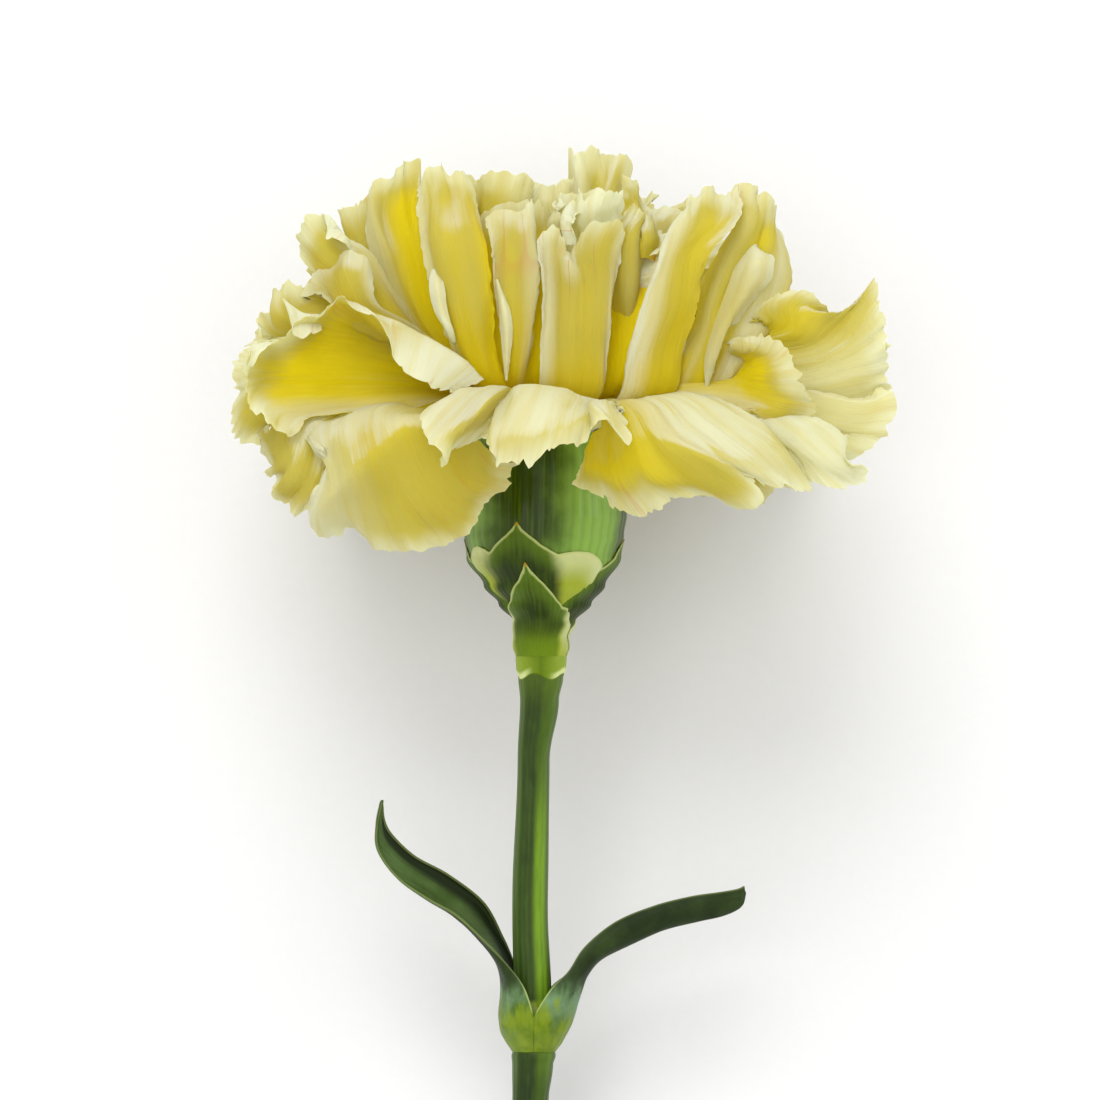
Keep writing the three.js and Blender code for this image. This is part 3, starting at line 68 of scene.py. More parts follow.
# ---------- Petals ----------
# Each petal is a fan of ribs. They leave the calyx side by side and pass through each of the rows in turn,
# the last of which is the rim. root: azimuth in degrees (90 up), distance from the axis, width in degrees.
# gold: painted light, from 1 for a deep yellow glow of light bounced in the hollows to -1 for pale faces
# that catch the light, all over or at even steps from side to side. ruffle: how much it is waved. streak: how
# much of the thin pink streaks it has.
FRONT_PETALS = {
    "skirt_left": dict(root=(120, 5.6, 34), gold=(-0.9, -0.4, 0.1, 0.2, 0.0), ruffle=0.75, rows=[
        [(-22.8, 24.3, 13), (-20, 25.1, 13), (-15.5, 25.3, 14), (-11.5, 24.4, 15), (-7, 25.6, 14)],
        [(-21.6, 20.2, 19), (-20.6, 17, 22), (-18.8, 18.6, 23.4), (-16, 21, 23.8), (-13.2, 23.2, 22.8),
         (-10, 23, 21), (-6, 22.4, 19.5)],
        [(-22, 16, 19.5), (-21.4, 14.8, 20.5), (-18.8, 15.5, 21.5), (-15.8, 15.8, 22), (-12.5, 16, 21.6),
         (-9.2, 16.5, 20.6), (-6, 18, 19.4), (-3.7, 19.8, 18)],
        [(-21.9, 15.2, 18.5), (-21.7, 13, 17.5), (-20, 12.9, 17.8), (-18.3, 13.1, 18.5),
         (-16.8, 12.3, 19), (-15.2, 11.3, 19.2), (-12.8, 11.1, 19.3), (-10, 11.6, 18.6),
         (-7.8, 12.5, 18), (-6, 14, 18), (-4.9, 15.4, 17.8), (-3.2, 17, 17.4), (-2.8, 18.2, 17),
         (-1.7, 19.5, 16)]]),
    "lobe_left": dict(root=(104, 5.8, 22), gold=(-0.2, 0.0, -0.5), ruffle=0.6, rows=[
        [(-7.4, 26.3, 15), (-5.6, 27.1, 17), (-3.7, 27, 19.5), (-2.9, 26.4, 17.5), (-2.4, 26.4, 16)],
        [(-10.2, 25.3, 20.5), (-9.1, 25.3, 23.5), (-7.6, 24.7, 26), (-6.3, 24.1, 28), (-5.6, 23, 25.6),
         (-4.8, 23.6, 24)],
        [(-11.2, 24.4, 22), (-11.3, 23.2, 24.5), (-10.7, 21.6, 27.2), (-10, 20.4, 29),
         (-9.4, 19.2, 26.8), (-8.7, 19.8, 25.6), (-7.2, 21, 25), (-5.8, 22.3, 24.5)]]),
    "lobe_middle": dict(root=(88, 5.8, 30), gold=(0.0, -0.4, -0.1, -0.5), ruffle=0.6, rows=[
        [(-3.2, 26.9, 15), (-1.2, 27.2, 17.5), (1.5, 27, 18), (4, 26.3, 17.5), (6.4, 25.2, 16)],
        [(-4, 25, 21.5), (-2, 25.8, 25), (0.8, 25.6, 26.5), (3.5, 24.8, 25.5), (5.4, 24.2, 22.5)],
        [(-5.3, 22.8, 25.8), (-3.7, 22.4, 28.5), (-1.4, 22.2, 30), (1.2, 22.8, 30), (3.5, 23.2, 28),
         (5.2, 23.6, 24.5)],
        [(-5.8, 22.3, 26), (-5.1, 21.4, 28), (-4.7, 20.4, 29.4), (-4.2, 19.3, 29.5), (-3.4, 19.6, 30),
         (-2.6, 19.3, 30.4), (-1.6, 19.7, 31), (-0.8, 19.3, 31), (0, 20, 31), (1, 20.8, 30.6),
         (2, 21.3, 30.2), (3.3, 21.2, 29.2), (4.1, 21.4, 28.2), (4.8, 22.6, 26.5), (5.5, 23.6, 24)]]),
    "lobe_small": dict(root=(74, 5.8, 14), gold=-0.5, ruffle=0.3, rows=[
        [(4.8, 25.7, 15.5), (6, 25.6, 17.5), (7.4, 25.5, 16)],
        [(4.2, 23.5, 23), (5.2, 24.9, 25), (6.6, 25, 25.5), (7.9, 24.7, 22.5)],
        [(4, 21.8, 26.5), (4.8, 22.6, 27.5), (5.7, 23.7, 28), (6.9, 23.8, 28.6), (8.1, 22.6, 28.4),
         (8.9, 21.7, 27.4), (9.2, 22.4, 26.4), (8.8, 23.3, 24.5), (8.1, 24.9, 20.5)]]),
    "skirt_right": dict(root=(64, 5.8, 30), gold=(0.8, 0.7, 0.1, -0.6, -0.3), ruffle=0.5, rows=[
        [(5.6, 23.2, 13), (7.4, 24.7, 15), (9.3, 25.3, 17.2), (12.5, 25.9, 15.2), (16.2, 26.3, 13)],
        [(4.6, 20.8, 16.5), (7, 21.2, 19), (10, 22, 22), (13.2, 21.8, 24), (17.2, 23.4, 21),
         (21.2, 23.7, 17)],
        [(3.7, 19.2, 18.3), (6.1, 18.6, 20.3), (9.2, 18, 22), (12.6, 18.6, 23.8), (16.2, 19.7, 25.6),
         (19.8, 19.4, 26), (23.2, 20.4, 22), (25.2, 20.4, 18)],
        [(3.1, 17.8, 19), (5, 16.9, 20), (6.5, 16.2, 20.5), (8.2, 14.8, 20.5), (10, 14.2, 21),
         (11.5, 15, 21.8), (13.2, 16, 22.3), (15.2, 16.2, 23), (17.2, 15.7, 23.5), (19.5, 15, 24),
         (20.9, 15.5, 24.6), (21.8, 17, 25.2), (19.9, 18.8, 26.2), (22.6, 17.3, 25), (24.6, 17.4, 23.5),
         (26, 17.1, 22), (27.3, 17.1, 20.5), (26.9, 18.2, 19), (26, 19.7, 17)]]),
    "low_right": dict(root=(38, 5.8, 20), gold=-0.8, ruffle=0.7, rows=[
        [(16, 24.8, 12), (19, 25.5, 13), (22.2, 25.8, 12)],
        [(21.8, 22.2, 17.4), (23.6, 22.8, 18), (25.6, 23.2, 18), (27.8, 24, 17)],
        [(24.5, 20.6, 18.6), (26.6, 20.2, 19.8), (28.6, 20.8, 19.4), (30.8, 22.2, 17.4)],
        [(25.8, 19.2, 18.4), (27.2, 17.7, 19), (29, 17.3, 19.2), (30.8, 17.1, 19.2), (31.7, 17.7, 19.2),
         (32.3, 18.2, 19), (31.3, 19.2, 19.2), (30.5, 20, 18.8), (30.6, 21.3, 17.4)]]),
    "out_right": dict(root=(24, 5.8, 22), gold=-0.5, ruffle=0.8, rows=[
        [(17.2, 25.8, 9), (19.5, 27, 10.5), (20.8, 28.4, 9)],
        [(25.8, 22.2, 13.4), (27.2, 23.6, 14.8), (28.2, 25.2, 14), (28.6, 27, 13)],
        [(29, 21, 14), (31, 22.4, 15.4), (31.8, 24.4, 14.4), (32.2, 26.6, 13)],
        [(30.3, 20.6, 13.6), (31.2, 20.5, 13.8), (32.8, 21.1, 14.4), (33.7, 21.8, 14.6),
         (34.5, 22.5, 14.4), (34.2, 23.2, 14.2), (35, 24, 13.8), (35.1, 25.2, 13), (34.9, 26, 12.6),
         (34.1, 26.9, 12.4), (34.4, 28, 12)]]),
    "up_right": dict(root=(14, 5.6, 26), gold=(-0.7, 0.8), ruffle=0.55, rows=[
        [(16.6, 26.6, 9), (18.2, 28.8, 9.6), (19, 30.8, 9.4), (18.4, 32, 8.6)],
        [(26, 26, 11.2), (27.2, 28.2, 12), (27.2, 30.8, 12.2), (25.2, 32.8, 12.8), (21.8, 33.8, 11.8)],
        [(31, 25.7, 11.8), (32.2, 28.4, 12.6), (32.2, 31.4, 12), (29.8, 32.5, 11.4), (27.4, 34.2, 12.8),
         (24.2, 35.4, 12.8), (20, 33.6, 11.2)],
        [(34, 25.6, 11.2), (34.8, 26.8, 11.8), (34.6, 27.7, 12.2), (34.1, 28.4, 11.4),
         (34.7, 29.2, 11.8), (34.2, 31, 12.2), (34.5, 31.9, 11.8), (34, 32.9, 11), (34.2, 34, 10.8),
         (33.5, 35.7, 10.2), (33.4, 37, 10), (33, 37.9, 9.8), (32.4, 36.7, 10.2), (31.3, 35.3, 10.6),
         (30.5, 34.9, 10.8), (29.2, 34, 11), (28, 35.6, 12.2), (26.3, 36.7, 12.2), (24.5, 36.5, 12.2),
         (22.7, 35.8, 12), (20.5, 34.5, 11.2), (18.2, 32.4, 10)]]),
    "cup_right": dict(root=(44, 5.6, 22), gold=(0.2, 0.9, 0.5), ruffle=0.5, rows=[
        [(12.8, 25.8, 12.5), (13.6, 27.6, 11.5), (14.4, 29.4, 9)],
        [(19.2, 24.8, 15), (19.4, 27.2, 12.2), (18.8, 29.4, 10.6), (18.2, 30.8, 10.6)],
        [(22.8, 23.6, 17.2), (24.2, 25.8, 17.8), (23.6, 28.6, 17), (22, 30.8, 15.4), (19, 31.2, 12.8)],
        [(23.8, 22.8, 15.6), (25.6, 23.4, 16.6), (27.2, 24.8, 17), (26.4, 26.4, 17.6),
         (25.7, 28.2, 17.8), (24.9, 30, 17.4), (23.8, 31.5, 16.4), (22, 32.2, 15), (20, 31.9, 13.2),
         (18.2, 31.4, 11.6)]]),
    "sail_right": dict(root=(62, 5.2, 34), gold=(-1.0, -0.9, 0.0, 0.5, 0.3), ruffle=0.6, streak=0.8, rows=[
        [(7.3, 25.5, 13.4), (9, 26.1, 14), (11, 26.4, 13.8), (13.2, 26.4, 12.6)],
        [(8.7, 29.4, 14), (10.2, 30.4, 15), (12.2, 31.2, 15), (14.6, 31.8, 13.6)],
        [(9.6, 33, 14.6), (11.5, 34.2, 15.6), (13.6, 35, 15.2), (15.6, 35.8, 13.8)],
        [(10.3, 36, 15), (12, 36.6, 15.8), (13.8, 37, 15.4), (15.8, 37.6, 13.8)],
        [(11.6, 39, 14.8), (12.8, 39.6, 15.6), (14.4, 40.2, 15.2), (16.6, 41, 13.8)],
        [(12.7, 42.2, 13.8), (13.8, 43.2, 14.6), (15.4, 43.4, 14.2), (17.6, 43.8, 13.2), (19.8, 44.2, 12)],
        [(13.2, 43, 13.4), (14.4, 44.6, 13.6), (14.9, 45.7, 12.8), (14.6, 46.3, 12.6), (15.6, 46, 12.8),
         (16.3, 46.9, 12.2), (17.2, 47.2, 11.8), (18, 46.3, 11.2), (18.9, 46.5, 10.8), (19.8, 47.3, 10.2)]]),
    "sail_far_right": dict(root=(40, 5, 30), gold=(0.6, -0.2, 0.6, -0.6, -0.2), ruffle=0.55, rows=[
        [(12.4, 26.8, 11.5), (15, 27, 12), (16.6, 27.2, 11.8), (18.2, 27.8, 10.9)],
        [(14, 30.4, 12), (16.4, 30.8, 12.8), (17.6, 31, 12.8), (19.6, 31.8, 11.6), (22.4, 32.4, 10.8)],
        [(15, 35.8, 10.6), (17.2, 35.8, 12.1), (19, 36, 11.4), (21.2, 35.8, 11.2), (24.4, 35.6, 10)],
        [(17.2, 40.8, 9.3), (19.7, 41.2, 11), (21.2, 40.4, 10), (22.8, 39.8, 10.3), (25.2, 38.2, 8.5)],
        [(19, 43.8, 9.4), (20.5, 43.6, 10.8), (21.8, 43, 9.8), (23.2, 42.4, 10.1), (24.9, 41, 8.6)],
        [(18.7, 46.3, 8.8), (19.8, 47.3, 9.1), (20.8, 47.1, 8.7), (21.2, 46.2, 8.4), (22.1, 46.3, 8.8),
         (23, 46, 8.7), (23.2, 45.4, 8.3), (23.9, 45.2, 8), (24.1, 43.8, 7.9), (24.6, 42.4, 7.7)]]),
    "centre_front": dict(root=(85, 5.6, 60), gold=(-0.9, 0.0, 0.25, 0.1, -0.8), ruffle=0.55, streak=1, rows=[
        [(0, 27.1, 13.6), (1.6, 26.8, 14.3), (3.6, 26.4, 14.4), (5.4, 26.1, 14.2), (6.4, 27.2, 13.4)],
        [(0.1, 32.4, 14.6), (1.8, 32, 15.1), (4, 31.8, 15.1), (5.8, 31.5, 14.9), (6.7, 32.8, 14.4)],
        [(0.2, 37.6, 14.1), (2, 37.5, 14.4), (4, 38, 14.3), (6, 37.5, 14.2), (7.4, 37.6, 13.8)],
        [(0, 40.2, 13.8), (1.2, 40.6, 14.2), (2.5, 39.8, 14), (3.7, 39.2, 13.8), (5, 40.8, 14.3),
         (6.6, 41, 14.3), (8.1, 39.8, 13.7)],
        [(0, 41.5, 13.7), (0.4, 42.5, 13.9), (1.3, 43.2, 13.9), (2, 42.4, 13.8), (2.6, 40.8, 13.8),
         (3.2, 39.7, 13.6), (3.7, 39.5, 13.5), (4.2, 41, 13.7), (4.6, 42.7, 14), (5.4, 43.4, 14.2),
         (6.6, 43.5, 14.2), (7.4, 43.7, 14.1), (8.1, 43.3, 13.9), (8.3, 41.8, 13.8), (8.1, 40.4, 13.6)]]),
    "crown_front": dict(root=(85, 4.6, 44), gold=-0.8, ruffle=0.4, streak=1, rows=[
        [(0.5, 33, 8), (3.5, 33.2, 9), (6.5, 33, 8)],
        [(0.8, 39.8, 9), (4, 39.8, 10), (7.2, 39.8, 9)],
        [(1, 45.8, 8.5), (2, 46.3, 9), (3.5, 46.2, 9.5), (5.5, 46.6, 9.5), (7.2, 46.3, 9.4),
         (8.6, 45.8, 8.6)]]),
    "centre_narrow": dict(root=(108, 5.4, 24), gold=(-0.7, 0.3, -0.3, -0.8), ruffle=0.6, rows=[
        [(-3.5, 27.3, 12.7), (-2.8, 27.5, 13.2), (-2.1, 27.5, 13.2), (-1.6, 27.4, 12.8)],
        [(-3.8, 32, 13.6), (-2.9, 31.5, 14.3), (-1.8, 31.5, 14.3), (-0.9, 31.8, 13.6)],
        [(-4.2, 37.4, 13.5), (-3.3, 37, 14.1), (-1.5, 37, 14.3), (-0.2, 37, 13.5)],
        [(-4.5, 41.5, 13.2), (-3.4, 41.7, 13.7), (-1.5, 41.7, 13.8), (-0.2, 42.2, 13)],
        [(-4.9, 43.7, 12.4), (-4.4, 44.3, 12.6), (-3.8, 44.6, 12.7), (-3, 44.7, 12.8),
         (-2.2, 44.3, 12.9), (-1.6, 44.7, 12.7), (-1.1, 45.5, 12.6), (-0.5, 46, 12.2)]]),
    "centre_left": dict(root=(128, 5.6, 42), gold=(-0.6, 0.0, 0.3, 0.1, 0.9), ruffle=0.6, rows=[
        [(-7.2, 28.2, 12.1), (-6, 27.6, 13), (-4.5, 27.2, 13.3), (-3.2, 27.3, 12.7)],
        [(-9.4, 32.2, 13.4), (-7.8, 31.8, 14.4), (-6, 31.5, 14.5), (-4.5, 31.5, 13.7)],
        [(-10.8, 37, 13.8), (-9.2, 37.2, 14.7), (-7, 37, 14.9), (-5.1, 36.8, 13.9)],
        [(-11.8, 41.5, 13.4), (-10.2, 42, 14.3), (-8, 42, 14.5), (-5.6, 42, 13.5)],
        [(-11.9, 44.4, 12.5), (-10.6, 45.5, 13.1), (-9.2, 44.8, 12.8), (-7.7, 44.2, 13.4),
         (-6, 44.8, 12.6)],
        [(-12, 46.8, 11.3), (-11.6, 47.4, 11.5), (-11.2, 49, 11.7), (-10, 49.2, 11.8),
         (-9.7, 49.5, 11.8), (-9, 48.2, 11.7), (-8.4, 48.7, 11.8), (-7.6, 48.7, 11.9), (-6.3, 47.6, 11.7)]]),
    "sail_left": dict(root=(140, 5.2, 34), gold=(-0.5, -0.3, 0.8, 0.9, 0.1), ruffle=0.6, rows=[
        [(-10.4, 29, 8.8), (-8.5, 28.8, 9.4), (-7, 29, 9.5), (-6, 29.8, 8.8)],
        [(-14.6, 34.2, 7.4), (-12.6, 34.2, 8.3), (-11, 34.6, 8.7), (-9.6, 35.2, 8.4)],
        [(-17, 40.2, 5.7), (-15.2, 40.4, 6.8), (-13.6, 40.2, 6.7), (-12.2, 40.6, 7.3), (-11, 39.8, 7.1)],
        [(-18, 44.4, 4.1), (-16.8, 45, 5.1), (-15.4, 44.8, 4.6), (-13.8, 45.2, 5.6), (-12.8, 44.8, 5.3),
         (-11.9, 44.6, 6)],
        [(-18, 45.7, 3.3), (-17.7, 47, 3.6), (-16.8, 47.9, 4), (-16, 48.2, 3.9), (-14.9, 48.2, 3.9),
         (-14.6, 49.2, 4.2), (-14.1, 49.4, 4.3), (-13.8, 50, 4.5), (-13, 49.9, 4.5), (-12.3, 50.2, 4.9),
         (-12.1, 48.5, 5.2), (-12, 46.8, 5.4)]]),
    "ear_left": dict(root=(150, 5.6, 26), gold=(0.1, 0.2, -0.7), ruffle=0.5, streak=1, rows=[
        [(-13.6, 30.8, 8), (-12.8, 32.2, 9), (-12.4, 33.8, 7)],
        [(-19, 34.2, 8), (-18.4, 36.6, 9.4), (-17.8, 39, 9), (-17.2, 41, 7.4)],
        [(-22.4, 36.6, 7.4), (-21.8, 39.2, 9), (-20.8, 41.2, 9.2), (-19, 42.4, 7.4)],
        [(-23.9, 36.5, 6.4), (-23.3, 37.6, 7.2), (-23.1, 39, 7.6), (-24, 40.2, 7), (-24.3, 41.8, 7.4),
         (-23.9, 42.9, 7.8), (-23.5, 43.1, 8), (-23.2, 44.3, 8.2), (-22.7, 44.5, 8.6), (-21.8, 44.3, 9),
         (-21, 43.8, 8.8), (-20.2, 43.4, 8)]]),
    "sail_far_left": dict(root=(156, 5, 28), ruffle=0.5, rows=[
        [(-13.5, 32.2, 5.6), (-12.5, 33, 6.4), (-11.6, 33.8, 5)],
        [(-17.4, 37.8, 4.6), (-15.8, 38.8, 4.6), (-14, 39.8, 3.2)],
        [(-19.8, 41.4, 3.4), (-18.2, 42.6, 4), (-16.2, 43.4, 2.2)],
        [(-20.9, 43.4, 2.2), (-20.6, 44.8, 3), (-19.9, 45.2, 3.4), (-18.9, 45.2, 3.4), (-18, 45.5, 3.2),
         (-17.4, 46.1, 2.6), (-16.6, 46.8, 1.6)]]),
    "curl_left": dict(root=(138, 5.6, 26), gold=(0.1, 0.3, -0.7), ruffle=0.5, rows=[
        [(-14.4, 31, 10.2), (-13, 32.2, 11), (-11.6, 32.6, 10.2)],
        [(-19.4, 33.6, 10.3), (-17.6, 35, 12), (-16, 35.2, 11.7)],
        [(-21.6, 36.4, 9.4), (-19.4, 38.4, 11.6), (-16.6, 37.4, 11.8)],
        [(-23.7, 36.3, 8.1), (-22.4, 38.7, 8.7), (-21.2, 39.8, 9.4), (-20.3, 40.5, 9.8),
         (-19.3, 40.7, 10.2), (-18, 40.3, 10.5), (-17, 39.2, 10.8), (-16.6, 38.4, 11)]]),
    "edge_left": dict(root=(166, 5.6, 24), rows=[
        [(-15.2, 30.4, 5.4), (-14.8, 31.6, 6.2), (-14.4, 33.4, 5.2)],
        [(-22.2, 31.6, 6), (-22, 33.6, 7.4), (-20.4, 36.4, 7)],
        [(-26.6, 31.6, 5), (-25.6, 34, 6.8), (-22.2, 37, 7.2)],
        [(-29.7, 31.1, 3.6), (-28.4, 31.9, 4.4), (-28, 33.4, 5), (-28.1, 34.4, 5.2), (-27.4, 34.5, 5.8),
         (-26.9, 35, 6), (-26.6, 35.9, 5.8), (-26, 36.9, 6), (-25.3, 36.7, 6.4), (-24.7, 37.7, 6.6),
         (-24.3, 37.4, 6.8), (-23.7, 37, 7), (-22.8, 37.5, 7.2), (-21.8, 37.7, 7.2), (-20.8, 37.2, 7)]]),
    "out_left": dict(root=(160, 5.8, 26), rows=[
        [(-16, 28.2, 6.4), (-15.6, 29.6, 7.2), (-15.4, 31.2, 6)],
        [(-24.2, 25, 8), (-24.4, 28.2, 9), (-23.6, 31, 7)],
        [(-28.2, 22.6, 9), (-28.6, 27.2, 10), (-27.8, 30.6, 8)],
        [(-28, 21.2, 9.4), (-29.3, 21.5, 9.4), (-30, 21.6, 9.4), (-30.7, 22.3, 9.2), (-30.6, 24, 9),
         (-30.1, 26.4, 8.8), (-30.7, 27.2, 8.8), (-30.7, 29.5, 8), (-30.4, 30.3, 7.4), (-29.9, 31.1, 7),
         (-28.6, 31.6, 6)]]),
    "hollow_left": dict(root=(130, 5.8, 36), gold=(0.2, 0.9, 0.9, 0.7, -0.2, -1.0, -1.0), ruffle=0.5, rows=[
        [(-9.4, 25.8, 11.5), (-11.2, 26.6, 10), (-11.8, 28, 9.4), (-11.4, 29.2, 9), (-10, 29.4, 9.4),
         (-8.4, 28.8, 10.6), (-6.8, 27.8, 11.6)],
        [(-16.8, 24.8, 14), (-19.4, 26.2, 12), (-20.6, 28.4, 11), (-19.6, 30.8, 10.4), (-17, 32.2, 10.4),
         (-14, 31.6, 11.4), (-11, 29.8, 12.2), (-8.2, 28, 12.8)],
        [(-23, 24.2, 15.4), (-25.2, 24, 15), (-27.4, 25.8, 14.4), (-28.1, 27.6, 13.8), (-27.7, 29.4, 13),
         (-26.4, 31, 12.2), (-24.4, 32.4, 11.6), (-22, 33.8, 12), (-19.5, 35.7, 13), (-17, 35, 14.4),
         (-14, 33.9, 15.2), (-10, 31.1, 15), (-5.6, 28.1, 13.6)],
        [(-23.8, 22.6, 16.6), (-25.2, 22.2, 16.8), (-26.6, 23, 16.6), (-27.9, 24, 16.4),
         (-28.8, 25.5, 15.6), (-29.1, 27.8, 15), (-29, 29.6, 14.6), (-28.4, 31, 14), (-27.2, 31.6, 13.4),
         (-25.6, 32.2, 13), (-24, 33.6, 13), (-21.6, 34.2, 13.6), (-20, 36.2, 14.4), (-18.6, 35.2, 15.8),
         (-16.5, 34.1, 17.2), (-14.8, 32.4, 18.2), (-14, 30.5, 18.8), (-12, 28.1, 18.6),
         (-10.9, 26.9, 18), (-8.4, 26.6, 16.4)]]),
    "low_left": dict(root=(142, 5.8, 24), rows=[
        [(-13.6, 25.6, 11.4), (-15.4, 26.4, 10), (-17, 27.6, 8.6)],
        [(-20.2, 21.4, 15.6), (-22.8, 23, 14.6), (-25.2, 26, 11.4)],
        [(-21.4, 17.8, 17.4), (-24.4, 18.6, 16), (-27.2, 22.8, 12)],
        [(-21.4, 15.7, 17), (-22.4, 15.2, 16.6), (-23.5, 14.8, 16), (-24.3, 14.4, 15.4),
         (-25.1, 15.4, 15), (-26, 15.6, 14.4), (-26.9, 16, 13.8), (-27.1, 17, 13.6), (-26.7, 18.2, 13.4),
         (-27.5, 18.2, 12.4), (-28, 18.9, 12), (-28.3, 20.2, 10.8), (-28.4, 21.6, 9.6), (-28.1, 23, 8.8),
         (-27.8, 24.6, 8.2)]]),
    "crown_crumple": dict(root=(68, 4.8, 30), gold=(0.5, -0.6), ruffle=0.8, streak=0, rows=[
        [(6.4, 30.8, 9.6), (8.2, 31.2, 11), (10, 31.5, 10)],
        [(7.4, 36.8, 10.4), (9.2, 37.2, 12.8), (11, 37.8, 11)],
        [(7.6, 41.6, 11), (9.4, 42.2, 13.4), (11.8, 41.8, 10.4)],
        [(7.8, 44.6, 10.4), (9, 45.4, 11.8), (10, 44.5, 12.6), (10.8, 43.8, 10.8), (11.6, 43.2, 9.8),
         (12.7, 42.8, 8.4)]]),
    "crown_left": dict(root=(125, 4.2, 36), gold=(-0.7, 0.2), ruffle=0.7, rows=[
        [(-6, 33, 7.2), (-4.8, 33.2, 8), (-3.5, 33, 7.2)],
        [(-8.5, 42, 7.8), (-7, 42.2, 9.4), (-5, 42, 8.2)],
        [(-9.2, 47.6, 7.1), (-8.8, 48.2, 7.4), (-8.4, 48.8, 7.8), (-7.6, 48.8, 8.3), (-6.8, 48.2, 8.1),
         (-6.1, 47.7, 8), (-5.2, 48.2, 7.5)]]),
    "crown_mid_left": dict(root=(105, 4, 36), gold=(0.3, -0.5), ruffle=0.7, streak=1, rows=[
        [(-4, 33, 7.3), (-2.8, 33.2, 8.2), (-1.4, 33, 7.5)],
        [(-6, 41.5, 8.5), (-4, 42, 10), (-1.8, 41.8, 9.1)],
        [(-6.1, 47.6, 7.9), (-5.4, 48.1, 8.3), (-4.3, 48.3, 8.8), (-3.2, 48.5, 9.1), (-2.2, 48.5, 8.9),
         (-1.8, 47.8, 8.7), (-1.2, 48.1, 8.6), (-0.5, 47.2, 8.1)]]),
    "crown_mid": dict(root=(92, 3.6, 30), gold=-0.4, ruffle=0.7, streak=1, rows=[
        [(-1.2, 33, 7.2), (-0.2, 33.2, 7.9), (0.8, 33, 7.2)],
        [(-1.4, 41.5, 8.3), (0, 42, 9.5), (1.8, 41.8, 8.6)],
        [(-0.9, 46.6, 7.1), (-0.4, 47.2, 7.6), (0.4, 47.5, 8), (1.1, 47, 7.6), (2, 47.2, 7.3),
         (2.7, 47.9, 6.5)]]),
    "crown_right": dict(root=(55, 3.8, 40), gold=(0.6, -0.4), ruffle=0.7, rows=[
        [(7, 34.8, 3), (8.6, 35, 3.7), (10.4, 34.4, 2.3)],
        [(8, 42.8, 4.2), (10, 43.2, 5.9), (12.8, 42.2, 3.8)],
        [(8.6, 48.4, 2.4), (9.4, 47.9, 3.3), (10.2, 47.4, 3.4), (10.8, 46.7, 3), (11.6, 45.9, 2.8),
         (12.8, 45.7, 2.3), (13.8, 44.9, 1.7), (14.8, 44.4, 0.7)]]),
    "crown_top": dict(root=(80, 2.2, 80), gold=(0.0, -0.8, 0.1, -0.8), ruffle=0.5, streak=1, rows=[
        [(1.8, 36, 1), (4.2, 36, 3.4), (6.6, 36, 1.5)],
        [(2.2, 44.5, 1), (3.8, 44.8, 4.4), (5.2, 44.4, 3), (6.6, 44.8, 4.8), (8.4, 44.2, 2.5)],
        [(2.6, 48, -0.5), (2.6, 50.8, 0), (3, 51.1, 0.8), (3.7, 50.5, 1.8), (4.4, 50.9, 1.4),
         (5.3, 51.2, 2.2), (6, 50.8, 2.8), (7.2, 50.5, 1.6), (8, 50.6, 1.6), (8.6, 50.2, 0.6),
         (8.9, 48.4, -0.5)]]),
    "deep_right": dict(root=(58, 4.6, 34), gold=1, ruffle=0.4, rows=[
        [(5.8, 27.2, 11.4), (7.6, 27.4, 12), (10, 28, 11.6)],
        [(6.2, 33.8, 11.6), (8.6, 34.2, 12.4), (12.8, 34.6, 12.2)],
        [(6, 39.8, 9.4), (7.4, 41, 9.8), (9.4, 42, 10), (11.8, 41.4, 10), (15, 39.8, 9.6)]]),
    "deep_middle": dict(root=(100, 4.6, 34), gold=1, ruffle=0.4, rows=[
        [(-5, 27.6, 11.4), (-2, 27.6, 12), (0.5, 27.6, 11.6)],
        [(-6, 36, 12), (-2.5, 36, 12.4), (1.2, 36, 12)],
        [(-6.6, 43.6, 10), (-5.2, 44.8, 10.4), (-3.6, 45.4, 10.6), (-2, 45.6, 10.6), (0, 45.4, 10.4),
         (1.6, 44.6, 10)]]),
}

